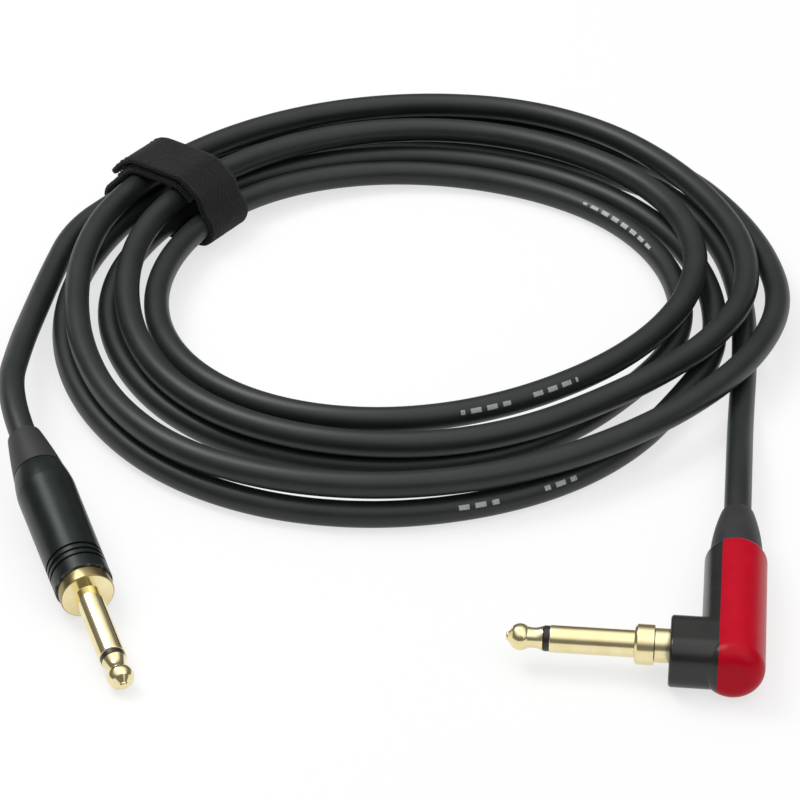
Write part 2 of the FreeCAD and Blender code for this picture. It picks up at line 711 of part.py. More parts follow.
def switch_board():
    """Small circuit board behind the finger's shoulder, round the solder cup."""
    reach = REED_OUT + BOARD_EDGE
    board = block(BOARD_PLACE, BOARD_PLACE + BOARD_T, -BOARD_NEAR, reach, -BOARD_NEAR, REED_UP)
    return board.cut(rod(0, BOARD_PLACE + BOARD_T + PAST, CUP_R + BOARD_AIR))


def gland_nut():
    """Nut screwed into the body's rear, tapering down to the cable."""
    edge = BODY_LENGTH + GLAND_EDGE
    lip = ANGLE_REAR - BEVEL
    return turned(
        (GLAND_START, MOUTH_R), (GLAND_START, SPIGOT_R), (BODY_LENGTH, SPIGOT_R),
        (BODY_LENGTH, GLAND_R), (edge, GLAND_R),
        (lip, GLAND_END_R, (edge + lip) / 2, GLAND_END_R + GLAND_BELLY),
        (ANGLE_REAR, GLAND_END_R - BEVEL), (ANGLE_REAR, MOUTH_R))


def make_angle_plug(place):
    shell = angle_body().cut(angle_hollow())
    far = 2 * ANGLE_REAR
    housing = shell.common(block(COVER_SPLIT, far, -far, far, -far, far))
    cover = shell.common(block(-far, COVER_SPLIT, -far, far, -far, far))
    cup_end = CUP_PLACE - CUP_LENGTH
    contact, ring, insulator = finger_parts(ANGLE_TIP, cup_end, CUP_PLACE + TUBE_PROUD)
    chuck = chuck_jaws(-GLAND_START, CHUCK_LENGTH)
    chuck.rotate(Vector(), Vector(0, 0, 1), 90)
    jacket_end = GLAND_START - CHUCK_LENGTH - STRIP
    core_x = cup_end + CUP_R
    core_end = CUP_R + SOLDER_AIR
    core = rod(core_end, jacket_end, CORE_R)
    screen_x = BOARD_PLACE + BOARD_T + BOARD_AIR + SCREEN_D / 2
    screen = rod(SHOULDER_R + SOLDER_AIR, jacket_end, SCREEN_D / 2)
    for node, shape in (
            ("angle_housing", housing),
            ("angle_cover", cover),
            ("angle_tip_contact", contact),
            ("angle_insulator_ring", ring),
            ("angle_rod_insulator", insulator),
            ("angle_finger_sleeve", angle_sleeve()),
            ("switch_collar", switch_collar()),
            ("switch_magnet", pipe(SKIRT_BACK, MAGNET_FRONT, MAGNET_R, COLLAR_SKIRT_R + FIT)),
            ("switch_spring", switch_spring()),
            ("reed_switch", reed_switch()),
            ("switch_board", switch_board()),
            ("angle_gland_nut", along_y(gland_nut())),
            ("angle_chuck", chuck),
            ("angle_jacket_end", along_y(rod(jacket_end, ANGLE_REAR, CABLE_R))),
            ("angle_core_wire", along_y(core).translated(Vector(core_x, 0, 0))),
            ("angle_screen_pigtail", along_y(screen).translated(Vector(screen_x, 0, 0)))):
        save(node, shape, place)


# Hook and loop tie, made across the bundle: local X outward, Z up, Y along the cable

def bundle_points():
    """Middles of the turns all across the tie's width, as (distance outward, height)."""
    points = []
    across = STRAP_W / 2 / (2 * math.pi * FLOOR_RADIUS)
    for count in range(STRANDS):
        for side in (-1, 0, 1):
            turn = TIE_TURN + count + side * across
            outward = coil_radius(turn) * math.cos(2 * math.pi * side * across)
            points.append((outward, coil_height(turn)))
    return sorted(points)


def bundle_corners():
    """Corners of the outline stretched round those points, anticlockwise."""
    corners = []
    for points in (bundle_points(), bundle_points()[::-1]):
        half = []
        for x, z in points:
            while len(half) > 1:
                (x0, z0), (x1, z1) = half[-2:]
                if (x1 - x0) * (z - z0) - (z1 - z0) * (x - x0) > 0:
                    break
                half.pop()
            half.append((x, z))
        corners += half[:-1]
    return corners


def band(distance):
    """Face whose edge runs round the bundle, this far outside the cable's own surface."""
    corners = [Vector(radius, -STRAP_W / 2, height) for radius, height in bundle_corners()]
    outline = Part.makePolygon(corners + corners[:1])
    ring = Part.Face(outline).makeOffset2D(CABLE_R + distance, 0, False, False, False)
    return ring if ring.ShapeType == "Face" else Part.Face(ring)


def shell(inner, outer):
    """Closed band of strap between two distances from the cable."""
    return band(outer).cut(band(inner)).extrude(Vector(0, STRAP_W, 0))


def make_tie():
    angle = math.degrees(2 * math.pi * TIE_TURN)
    place = Placement(Vector(COIL_X, COIL_Y, 0), Rotation(Vector(0, 0, 1), angle))
    top = CABLE_D + TURN_PITCH + TIE_LIFT
    upper = [outward for outward, height in bundle_points() if height > top - CABLE_D]
    middle = (min(upper) + max(upper)) / 2
    far = FLOOR_RADIUS
    strap_outer = STRAP_CLEAR + STRAP_T
    hook_outer = strap_outer + HOOK_T
    tab_inner = hook_outer + TAB_CLEAR
    strap = shell(STRAP_CLEAR, strap_outer)
    region = block(middle - TAB_BACK, middle + far, -far, far, top - TAB_DROP, top + far)
    tab = shell(tab_inner, tab_inner + TAB_T).common(region)
    patch_half = STRAP_W / 2 - PATCH_SIDE
    patch_region = block(middle - TAB_BACK + PATCH_ROOT, middle + far, -patch_half, patch_half,
                         top - TAB_DROP + PATCH_END, top + far)
    patch = shell(strap_outer, hook_outer).common(patch_region)
    save("tie_strap", strap, place)
    save("tie_hook_patch", patch, place)
    save("tie_tab", tab, place)
    hinge = place.multVec(Vector(middle - TAB_BACK, 0, top + tab_inner))
    print("tie tab hinge", hinge, "axis", place.Rotation.multVec(Vector(0, -1, 0)))


def main():
    straight = straight_place()
    angle = angle_place()
    make_cable(straight, angle)
    make_straight_plug(straight)
    make_angle_plug(angle)
    make_tie()
    print("straight finger", straight.Base, straight.Rotation.multVec(Vector(1, 0, 0)))
    print("angle finger", angle.Base, angle.Rotation.multVec(Vector(1, 0, 0)))


main()
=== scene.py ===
import json
import math

import bmesh
import bpy
from mathutils import Matrix, Vector


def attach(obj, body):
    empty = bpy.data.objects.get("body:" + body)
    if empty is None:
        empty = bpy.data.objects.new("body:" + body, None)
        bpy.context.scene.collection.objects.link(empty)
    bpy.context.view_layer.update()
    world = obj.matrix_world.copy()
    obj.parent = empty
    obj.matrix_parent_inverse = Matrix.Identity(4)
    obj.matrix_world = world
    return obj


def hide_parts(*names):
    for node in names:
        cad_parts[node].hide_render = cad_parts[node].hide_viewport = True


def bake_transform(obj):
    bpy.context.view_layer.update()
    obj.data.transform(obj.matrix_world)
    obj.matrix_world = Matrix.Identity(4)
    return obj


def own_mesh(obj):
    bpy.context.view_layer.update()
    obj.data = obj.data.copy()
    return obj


# Instrument cable: a round coil held by a hook and loop tie, a straight phone plug and a
# right-angle one with a muting collar. Metres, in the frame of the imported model.

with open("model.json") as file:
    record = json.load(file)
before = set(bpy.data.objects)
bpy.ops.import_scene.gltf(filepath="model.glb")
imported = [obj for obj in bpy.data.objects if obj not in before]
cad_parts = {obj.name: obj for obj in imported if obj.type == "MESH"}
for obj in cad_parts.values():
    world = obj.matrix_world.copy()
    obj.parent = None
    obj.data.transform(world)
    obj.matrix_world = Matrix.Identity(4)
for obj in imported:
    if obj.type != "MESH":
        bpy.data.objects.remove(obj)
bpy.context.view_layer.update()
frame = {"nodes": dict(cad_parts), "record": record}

CABLE_D = 0.0066
CABLE_R = CABLE_D / 2
COIL_MIDDLE = Vector((-0.00092, 0.03483, 0.0))
CAMERA_PITCH = math.radians(34)
TO_CAMERA = Vector((0.0, -math.cos(CAMERA_PITCH), math.sin(CAMERA_PITCH)))


# Finishes

class Value:
    """One output in a finish's nodes. Sums and comparisons with numbers or other values add the
    nodes that work them out."""

    def __init__(self, finish, socket):
        self.finish = finish
        self.socket = socket

    def maths(self, operation, *others):
        inputs = dict(enumerate((self,) + others))
        return self.finish.add("Math", {"operation": operation}, inputs)

    def __add__(self, other):
        return self.maths("ADD", other)

    def __sub__(self, other):
        return self.maths("SUBTRACT", other)

    def __rsub__(self, other):
        return self.finish.add("Math", {"operation": "SUBTRACT"}, {0: other, 1: self})

    def __mul__(self, other):
        return self.maths("MULTIPLY", other)

    def __lt__(self, other):
        return self.maths("LESS_THAN", other)

    def __gt__(self, other):
        return self.maths("GREATER_THAN", other)

    def __abs__(self):
        return self.maths("ABSOLUTE")

    __radd__ = __add__
    __rmul__ = __mul__

    def part(self, name):
        """One number of a vector: X, Y or Z."""
        return self.finish.add("SeparateXYZ", {}, {0: self}, name)

    def wave(self, period):
        """-1 to 1 and back, once in each period."""
        return (self * (2 * math.pi / period)).maths("SINE")

    def step(self, low, high):
        """0 below low, 1 above high and smooth between; the other way round where low is more."""
        falls = low > high
        inputs = {"Value": self, "From Min": min(low, high), "From Max": max(low, high),
                  "To Min": float(falls), "To Max": float(not falls)}
        return self.finish.add("MapRange", {"interpolation_type": "SMOOTHSTEP"}, inputs)


class Finish:
    """A material. Constants go straight onto the shader; add() brings any node."""

    def __init__(self, name, **constants):
        self.material = bpy.data.materials.new(name)
        self.material.use_nodes = True
        self.nodes = self.material.node_tree.nodes
        self.links = self.material.node_tree.links
        self.shader = self.nodes["Principled BSDF"]
        self.set(**constants)

    def set(self, **inputs):
        for name, value in inputs.items():
            self.plug(self.shader.inputs[name.replace("_", " ")], value)

    def plug(self, socket, value):
        if isinstance(value, Value):
            self.links.new(value.socket, socket)
        elif isinstance(value, tuple) and socket.type == "RGBA" and len(value) == 3:
            socket.default_value = (*value, 1.0)
        else:
            socket.default_value = value

    def add(self, kind, settings, inputs, output=0):
        node = self.nodes.new("ShaderNode" + kind)
        for name, value in settings.items():
            if name == "stops":
                self.set_stops(node.color_ramp, value)
            else:
                setattr(node, name, value)
        for name, value in inputs.items():
            self.plug(node.inputs[name], value)
        return Value(self, node.outputs[output])

    @staticmethod
    def set_stops(ramp, stops):
        while len(ramp.elements) < len(stops):
            ramp.elements.new(0.5)
        for element, (place, colour) in zip(ramp.elements, stops):
            element.position = place
            element.color = (*colour, 1.0)

    def place(self):
        """Where the point is, in metres."""
        return self.add("TexCoord", {}, {}, "Object")

    def place_on(self, plug):
        """Where the point is in a plug's own frame."""
        location, rotation, _ = plug.decompose()
        inputs = {0: self.place(), 1: location, 2: rotation.to_euler()}
        return self.add("Mapping", {"vector_type": "TEXTURE"}, inputs)

    def stored(self, name, output="Fac"):
        return self.add("Attribute", {"attribute_name": name}, {}, output)

    def facing(self, vector, way):
        """Cosine between a unit vector and a fixed one."""
        return self.add("VectorMath", {"operation": "DOT_PRODUCT"}, {0: vector, 1: way}, "Value")

    def stretched(self, place, x, y, z):
        """A place with each of its numbers multiplied."""
        return self.add("VectorMath", {"operation": "MULTIPLY"}, {0: place, 1: (x, y, z)})

    def noise(self, place, size, detail=3.0, roughness=0.55):
        """0 to 1, in blotches about this size across."""
        inputs = {"Vector": place, "Scale": 1 / size, "Detail": detail, "Roughness": roughness}
        return self.add("TexNoise", {}, inputs, "Fac")

    def blend(self, factor, first, second):
        """Colour between two. A Mix node's colours are its inputs 6 and 7 and its output 2."""
        return self.add("Mix", {"data_type": "RGBA"}, {0: factor, 6: first, 7: second}, 2)

    def ramp(self, value, *stops):
        return self.add("ValToRGB", {"stops": stops}, {0: value})

    def blotched(self, place, size, colours):
        """Base colour between two in blotches, which it gives. It keeps the place and the colour
        for what goes over them."""
        blotch = self.noise(place, size, 4)
        self.place_used = place
        self.colour = self.ramp(blotch, (0.3, colours[0]), (0.75, colours[1]))
        self.set(Base_Color=self.colour)
        return blotch

    def relief(self, height, depth, strength):
        """Bump of a height from 0 to 1, this many metres deep."""
        inputs = {"Height": height, "Distance": depth, "Strength": strength}
        return self.add("Bump", {}, inputs, "Normal")


def coat(finish, *nodes):
    """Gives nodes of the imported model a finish."""
    for node in nodes:
        for slot in frame["nodes"][node].material_slots:
            slot.material = finish.material


# Cable: its route, as one spline, and the jacket round it

COIL_START = 0.15        # in turns, which are counted anticlockwise from the right
COIL_QUARTERS = 21
FLOOR_RADIUS = 0.0896    # floor layer at turn 0
FLOOR_PITCH = 0.0084     # the floor layer spirals in by this much each turn
UPPER_PITCH = 0.0120     # and the upper layer out
REVERSAL = 2.5           # turn where the spiral reverses
CLIMB_TURNS = 0.5        # the climb takes this half turn
DRAW_IN = 0.0060         # the upper layer starts this much closer
LAST_TURN = 4.9          # from here the cable swings outside the rest
LAST_AIR = 0.00026
OUT_TURNS = 0.3
DROP_TURNS = 0.25        # and drops back to the floor
TURN_PITCH = CABLE_D + 0.0005
# Where the whole coil is out of round: part of a turn, half width in turns, metres outward
COIL_SHAPE = (
    (0.40, 0.12, -0.0010),
    (0.65, 0.12, 0.0036),
)
# Where one turn swings out or in: turn, half width in turns, metres outward
SWINGS = (
    (0.27, 0.20, -0.0020),
    (0.62, 0.14, 0.0040),
    (0.765, 0.215, 0.0104),
    (0.92, 0.08, 0.0010),
    (1.28, 0.25, -0.0050),
    (2.02, 0.18, 0.0012),
    (2.27, 0.25, -0.0055),
    (2.54, 0.20, -0.0045),
    (2.80, 0.20, -0.0045),
    (3.12, 0.28, 0.0110),
    (3.70, 0.20, -0.0015),
    (4.10, 0.25, 0.0170),
    (4.42, 0.20, 0.0010),
    (4.66, 0.25, 0.0055),
    (5.05, 0.20, 0.0115),
)
TIE_TURN = 0.40
STRAP_W = 0.0160
STRAP_T = 0.0018
STRAP_CLEAR = 0.0004     # air between strap and cable
LIFT_LEVEL = 0.05        # the turns are level this far each side of the tie
LIFT_TURNS = 0.25        # and are down on the floor this far from it
# The free stretches, from the coil outwards; the third number is the lift off the floor
ANGLE_ROUTE = (
    (0.0870, 0.0283, 0.0),
    (0.0902, -0.0018, 0.0),
    (0.0884, -0.0280, 0.0),
    (0.0849, -0.0565, 0.0),
)
STRAIGHT_ROUTE = (
    (-0.0944, 0.0120, 0.0017),
    (-0.0972, -0.0110, 0.0033),
    (-0.0986, -0.0340, 0.0077),
)
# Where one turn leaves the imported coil's: turn, half width in turns, metres outward
FANNING = (
    (0.53, 0.07, 0.0006),
    (0.66, 0.14, 0.0020),
    (0.89, 0.05, -0.0025),
    (1.50, 0.07, 0.0010),
    (1.89, 0.07, -0.0025),
    (2.48, 0.14, -0.0010),
    (3.05, 0.12, 0.0025),
    (3.53, 0.11, -0.0024),
    (3.88, 0.10, -0.0030),
    (4.09, 0.10, -0.0050),
    (4.54, 0.12, -0.0050),
    (5.05, 0.08, -0.0040),
)
# Rows of printed dashes: turn and half the row's length
PRINTED = (
    (0.780, 0.0050),
    (0.816, 0.0045),
    (2.082, 0.0160),
    (2.796, 0.0065),
    (2.844, 0.0070),
)
DASH_STEP = 0.0042       # from one dash to the next
DASH_LEVEL = -0.45       # there is ink where a wave is above this
DASH_EDGE = (0.975, 0.985)  # cosines to the way that a row faces, where its ink fades in
RUBBER = ((0.0085, 0.0125, 0.0105), (0.0140, 0.0190, 0.0162))
INK = (0.36, 0.40, 0.37)
JACKET_SIDES = 40
JACKET_STEP = 0.0022
FIRST_RUN = 0.0200       # straight run out of the coil
EXIT_RUN = 0.0180        # straight run out of each plug
POINTS_PER_TURN = 24
TIE_LIFT = STRAP_T + STRAP_CLEAR
SPIRAL_IN = FLOOR_PITCH * (REVERSAL - TIE_TURN)
SPIRAL_OUT = UPPER_PITCH * (LAST_TURN - REVERSAL) - DRAW_IN
LAST_OUT = CABLE_D + LAST_AIR + SPIRAL_IN - SPIRAL_OUT


def smooth(x):
    """0 to 1 with level ends."""
    x = min(max(x, 0.0), 1.0)
    return x * x * (3 - 2 * x)


def climb(x):
    """0 to 1 as two equal arcs would rise."""
    x = min(max(x, 0.0), 1.0)
    return 2 * x * x if x < 0.5 else 1 - 2 * (1 - x) ** 2


def swing(turn, middle, half):
    """1 in the middle, falling smoothly to 0 at both ends."""
    x = (turn - middle) / half
    return (1 - x * x) ** 2 if abs(x) < 1 else 0.0


def coil_radius(turn):
    radius = FLOOR_RADIUS - FLOOR_PITCH * min(turn, REVERSAL)
    if turn > REVERSAL:
        radius += UPPER_PITCH * (min(turn, LAST_TURN) - REVERSAL)
        radius -= DRAW_IN * smooth((turn - REVERSAL) / CLIMB_TURNS)
    if turn > LAST_TURN:
        radius += LAST_OUT * smooth((turn - LAST_TURN) / OUT_TURNS)
    radius += sum(size * swing(turn, middle, half) for middle, half, size in SWINGS)
    return radius + sum(size * swing(turn % 1, middle, half) for middle, half, size in COIL_SHAPE)


def coil_height(turn):
    up = climb((turn - REVERSAL) / CLIMB_TURNS + 0.5)
    down = climb((turn - LAST_TURN) / DROP_TURNS)
    off = turn - TIE_TURN - round(turn - TIE_TURN)
    lift = TIE_LIFT * smooth((LIFT_TURNS - abs(off)) / (LIFT_TURNS - LIFT_LEVEL))
    return CABLE_R + TURN_PITCH * (up - down) + lift


def by_quarters(size, turn):
    """A size of the coil, true at each quarter of a turn and smooth between."""
    quarters = (turn - COIL_START) * 4
    count = min(max(int(quarters), 0), COIL_QUARTERS - 1)
    x = quarters - count
    step = 0.0001
    ends = [COIL_START + (count + i) / 4 for i in (0, 1)]
    slopes = [(size(end + step) - size(end - step)) / (2 * step) / 4 for end in ends]
    first = size(ends[0]) * (1 + 2 * x) * (1 - x) ** 2 + slopes[0] * x * (1 - x) ** 2
    return first + size(ends[1]) * x * x * (3 - 2 * x) + slopes[1] * x * x * (x - 1)


def coil_point(turn, out=1.0):
    """Middle of the coiled cable; out makes the whole coil wider."""
    angle = 2 * math.pi * turn
    fanned = sum(size * swing(turn, middle, half) for middle, half, size in FANNING)
    radius = (by_quarters(coil_radius, turn) + fanned) * out
    place = Vector((radius * math.cos(angle), radius * math.sin(angle), 0.0))
    return COIL_MIDDLE + place + Vector((0.0, 0.0, by_quarters(coil_height, turn)))


def coil_heading(turn):
    step = 0.0001
    return (coil_point(turn + step) - coil_point(turn - step)).normalized()


def lying(x, y, lift):
    """Middle of a cable that lies on the floor or is lifted off it."""
    return COIL_MIDDLE + Vector((x, y, CABLE_R + lift))


def plug_frame(mount, middle):
    """A plug's own frame: X along its finger, Z up, from its mount, which lies this far along X."""
    stated = next(item for item in frame["record"]["mounts"] if item["name"] == mount)
    x = Vector(stated["axis"]).normalized()
    y = Vector((0.0, 0.0, 1.0)).cross(x).normalized()
    place = Matrix((x, y, x.cross(y))).transposed().to_4x4()
    place.translation = Vector(stated["pos_m"]) - x * middle
    return place


STRAIGHT = plug_frame("straight_finger", 0.01035)
ANGLE = plug_frame("angle_finger", 0.0321)
# Where the cable leaves them: behind the straight one's shoulder, and sideways from the other's
# crossing of axes
STRAIGHT_REAR = Vector((-0.0582, 0.0, 0.0))
ANGLE_REAR = Vector((0.0, -0.0520, 0.0))


def route_points():
    """The cable's points, from the right-angle plug through the coil to the straight plug."""
    last = COIL_START + COIL_QUARTERS / 4
    start, start_way = coil_point(COIL_START), coil_heading(COIL_START)
    end, end_way = coil_point(last), coil_heading(last)
    points = [ANGLE @ ANGLE_REAR, ANGLE @ (ANGLE_REAR + ANGLE_REAR.normalized() * EXIT_RUN)]
    points += [lying(*point) for point in reversed(ANGLE_ROUTE)]
    points += [start - start_way * (CABLE_D + FIRST_RUN), start - start_way * CABLE_D]
    out = 1 / math.cos(math.pi / POINTS_PER_TURN)  # the spline passes inside its points
    steps = int((last - COIL_START) * POINTS_PER_TURN)
    points += [coil_point(COIL_START + step / POINTS_PER_TURN, out) for step in range(steps + 1)]
    points += [end + end_way * CABLE_D, end + end_way * (CABLE_D + FIRST_RUN)]
    points += [lying(*point) for point in STRAIGHT_ROUTE]
    points += [STRAIGHT @ (STRAIGHT_REAR + STRAIGHT_REAR.normalized() * EXIT_RUN),
               STRAIGHT @ STRAIGHT_REAR]
    return points


def spline_object(name, points):
    data = bpy.data.curves.new(name, "CURVE")
    data.dimensions = "3D"
    data.resolution_u = 8
    spline = data.splines.new("NURBS")
    spline.points.add(len(points) - 1)
    for target, point in zip(spline.points, points):
        target.co = (*point, 1.0)
    spline.order_u = 3
    spline.use_endpoint_u = True
    piece = bpy.data.objects.new(name, data)
    bpy.context.collection.objects.link(piece)
    return piece


def line_of(piece):
    """The points of a curve that has no bevel."""
    evaluated = piece.evaluated_get(bpy.context.evaluated_depsgraph_get())
    return [vertex.co.copy() for vertex in bpy.data.meshes.new_from_object(evaluated).vertices]


# Geometry node trees

class Tree:
    """A geometry node tree with named inputs."""

    def __init__(self, name, **sizes):
        self.group = bpy.data.node_groups.new(name, "GeometryNodeTree")
        interface = self.group.interface
        interface.new_socket("Geometry", in_out="INPUT", socket_type="NodeSocketGeometry")
        kinds = {float: "NodeSocketFloat", int: "NodeSocketInt"}
        for title, value in sizes.items():
            socket = interface.new_socket(title, in_out="INPUT", socket_type=kinds[type(value)])
            socket.default_value = value
        interface.new_socket("Geometry", in_out="OUTPUT", socket_type="NodeSocketGeometry")
        self.inputs = self.group.nodes.new("NodeGroupInput").outputs
        self.outputs = self.group.nodes.new("NodeGroupOutput").inputs

    def add(self, kind, settings=None, inputs=None, output=0):
        """Adds a node and gives one of its outputs."""
        node = self.group.nodes.new(kind)
        for name, value in (settings or {}).items():
            setattr(node, name, value)
        for name, value in (inputs or {}).items():
            if isinstance(value, bpy.types.NodeSocket):
                self.group.links.new(value, node.inputs[name])
            else:
                node.inputs[name].default_value = value
        return node.outputs[output]

    def maths(self, operation, *numbers):
        return self.add("ShaderNodeMath", {"operation": operation}, dict(enumerate(numbers)))

    def store(self, geometry, name, value):
        """Keeps a value on each point under a name."""
        kind = "FLOAT_VECTOR" if value.type == "VECTOR" else "FLOAT"
        return self.add("GeometryNodeStoreNamedAttribute", {"data_type": kind},
                        {"Geometry": geometry, "Name": name, "Value": value})

    def stored(self, name, kind):
        return self.add("GeometryNodeInputNamedAttribute", {"data_type": kind}, {"Name": name})

    def along(self, curve, instance):
        """Copies of a thing on a flat curve's points, with its X along the curve and Z kept."""
        turned = self.add("FunctionNodeAlignRotationToVector", {"axis": "X", "pivot_axis": "Z"},
                          {"Vector": self.add("GeometryNodeInputTangent")})
        return self.add("GeometryNodeInstanceOnPoints", {},
                        {"Points": curve, "Instance": instance, "Rotation": turned})

    def finish(self, geometry, material):
        real = self.add("GeometryNodeRealizeInstances", {}, {0: geometry})
        done = self.add("GeometryNodeSetMaterial", {}, {0: real, "Material": material})
        self.group.links.new(done, self.outputs[0])


def grown(name, source, tree):
    """Runs a tree on an object and gives the result as a plain mesh piece."""
    modifier = source.modifiers.new(name, "NODES")
    modifier.node_group = tree.group
    evaluated = source.evaluated_get(bpy.context.evaluated_depsgraph_get())
    mesh = bpy.data.meshes.new_from_object(evaluated)
    source.modifiers.remove(modifier)
    piece = bpy.data.objects.new(name, mesh)
    bpy.context.collection.objects.link(piece)
    return piece


def round_tree(name, finish, radius, sides, step):
    """Round body along a curve. Each point stores the length from the curve's start and which
    way it lies from the curve."""
    tree = Tree(name, Radius=radius, Sides=sides, Step=step)
    curve = tree.add("GeometryNodeResampleCurve", {"mode": "LENGTH"},
                     {"Curve": tree.inputs["Geometry"], "Length": tree.inputs["Step"]})
    length = tree.add("GeometryNodeSplineParameter", output="Length")
    along = tree.store(curve, "along", length)
    place = tree.add("GeometryNodeInputPosition")
    middles = tree.store(along, "middle", place)
    circle = tree.add("GeometryNodeCurvePrimitiveCircle", {},
                      {"Resolution": tree.inputs["Sides"], "Radius": tree.inputs["Radius"]})
    tube = tree.add("GeometryNodeCurveToMesh", {},
                    {"Curve": middles, "Profile Curve": circle, "Fill Caps": True})
    off = tree.add("ShaderNodeVectorMath", {"operation": "SUBTRACT"},
                   {0: place, 1: tree.stored("middle", "FLOAT_VECTOR")})
    side = tree.add("ShaderNodeVectorMath", {"operation": "NORMALIZE"}, {0: off})
    sided = tree.store(tube, "side", side)
    shaded = tree.add("GeometryNodeSetShadeSmooth", {}, {"Geometry": sided})
    tree.finish(shaded, finish.material)
    return tree


def printed_marks(path):
    """Where the jacket's dashes lie: length from the cable's start, half a row's length, and the
    way they face."""
    lengths = [0.0]
    for here, there in zip(path, path[1:]):
        lengths.append(lengths[-1] + (there - here).length)
    marks = []
    for turn, half in PRINTED:
        place, heading = coil_point(turn), coil_heading(turn)
        nearest = min(range(len(path)), key=lambda i: (path[i] - place).length)
        facing = (TO_CAMERA - heading * TO_CAMERA.dot(heading)).normalized()
        marks.append((lengths[nearest], half, facing))
    return marks


def jacket_finish(marks):
    finish = Finish("cable_jacket", Specular_IOR_Level=0.42)
    place = finish.place()
    blotch = finish.blotched(place, size=0.012, colours=RUBBER)
    grain = finish.noise(place, size=0.0006)
    along = finish.stored("along")
    side = finish.stored("side", "Vector")
    dash = along.wave(DASH_STEP) > DASH_LEVEL
    print_on = sum((abs(along - middle) < half) * finish.facing(side, facing).step(*DASH_EDGE)
                   for middle, half, facing in marks)
    rubbed = finish.noise(place, size=0.0005).step(0.20, 0.45)
    finish.set(Base_Color=finish.blend(print_on * dash * rubbed, finish.colour, INK),
               Roughness=0.36 + 0.12 * blotch,
               Normal=finish.relief(grain, depth=0.00004, strength=0.5))
    return finish


def make_cable():
    route = spline_object("cable_route", route_points())
    path = line_of(route)
    finish = jacket_finish(printed_marks(path))
    tree = round_tree("jacket", finish, CABLE_R, JACKET_SIDES, JACKET_STEP)
    cable = grown("cable", route, tree)
    bpy.data.objects.remove(route)
    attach(cable, "cable_and_plugs")
    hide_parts("cable_coil", "cable_to_angle_plug", "cable_to_straight_plug")
    plug = ["turned_straight_finger_sleeve"]
    plug += [node for node in frame["nodes"]
             if node.startswith("straight_") and node not in TURNED["straight"]]
    coat(finish, "angle_jacket_end", "straight_jacket_end")


# Hook and loop tie, drawn across the bundle: X outward from the coil, Y up

TIE_ANGLE = 2 * math.pi * TIE_TURN
TIE_OUT = Vector((math.cos(TIE_ANGLE), math.sin(TIE_ANGLE), 0.0))
TIE = Matrix((TIE_OUT, (0.0, 0.0, 1.0), TIE_OUT.cross((0.0, 0.0, 1.0)))).transposed().to_4x4()
TIE.translation = COIL_MIDDLE
STRANDS = 6              # stretches of cable that it holds
PILE_HEIGHT = 0.00012
TUFT = 0.0011
EDGE_SHARE = 0.4         # a strap's edges are rounded by this share of its thickness
TIP_SHARE = 0.35         # the free end's very tip keeps this share of its width
HOOK_T = 0.0007          # hook field under the free end, its base included
HOOK_BASE = 0.0004
HOOK_PITCH = 0.0011
TAB_T = 0.0016
TAB_W = 0.0156
TAB_CLEAR = 0.0003       # air between the free end and what it covers
TAB_INNER = STRAP_CLEAR + STRAP_T + HOOK_T + TAB_CLEAR
TAB_BACK = 0.0090        # the free end starts this far in from the bundle's middle
TAB_DROP = 0.0045        # and ends this far below the bundle's top
TAB_ROUND = 0.0050       # its end is rounded over this length
TAB_NEST = 0.0008        # and its start lies this far inside the band
PATCH_ROOT = 0.0020      # the hook field keeps this far from the free end's root
PATCH_END = 0.0015       # and from its end
PATCH_W = 0.0140
STITCH_PROUD = 0.00004
STITCHED = slice(2, -5)  # the stitches follow these points of the free end's line
RISE_RUN = 0.0042        # the band rises over its own start in this length
BUNDLE_TOP = CABLE_D + TURN_PITCH + TIE_LIFT
ARC_STEP = math.radians(8)
EDGE_STEP = 0.0010
FABRIC = ((0.0035, 0.0038, 0.0036), (0.0080, 0.0085, 0.0080))
FABRIC_EDGE = (0.0066, 0.0070)
FABRIC_WEAVE = (0.0009, 0.0005)


def bundle_points():
    """Middles of the turns all across the tie's width, as (outward, height)."""
    across = STRAP_W / 2 / (2 * math.pi * FLOOR_RADIUS)
    points = []
    for count in range(STRANDS):
        for side in (-1, 0, 1):
            turn = TIE_TURN + count + side * across
            points.append((coil_radius(turn) * math.cos(2 * math.pi * side * across),
                           coil_height(turn)))
    return sorted(points)


def bundle_corners():
    """Corners of the outline stretched round those points, clockwise from the innermost."""
    corners = []
    for points in (bundle_points()[::-1], bundle_points()):
        half = []
        for x, z in points:
            while len(half) > 1:
                (x0, z0), (x1, z1) = half[-2:]
                if (x1 - x0) * (z - z0) - (z1 - z0) * (x - x0) < 0:
                    break
                half.pop()
            half.append((x, z))
        corners += half[:-1]
    first = corners.index(min(corners))
    return [Vector((*corner, 0.0)) for corner in corners[first:] + corners[:first]]


def bundle_stations():
    """Places on the bundle's outline, twice round it, each with the angle that it faces."""
    corners = bundle_corners()
    count = len(corners)
    stations = []
    for i in range(2 * count):
        before, here, there = (corners[(i + k) % count] for k in (-1, 0, 1))
        first, last = (math.atan2(b.y - a.y, b.x - a.x) + math.pi / 2
                       for a, b in ((before, here), (here, there)))
        turn = (first - last) % (2 * math.pi)
        steps = math.ceil(turn / ARC_STEP) + 1
        stations += [(here, first - turn * step / steps) for step in range(steps + 1)]
        steps = math.ceil((there - here).length / EDGE_STEP)
        stations += [(here.lerp(there, step / steps), last) for step in range(1, steps)]
    return stations


def off_bundle(station, distance):
    base, way = station
    return base + Vector((math.cos(way), math.sin(way), 0.0)) * (CABLE_R + distance)


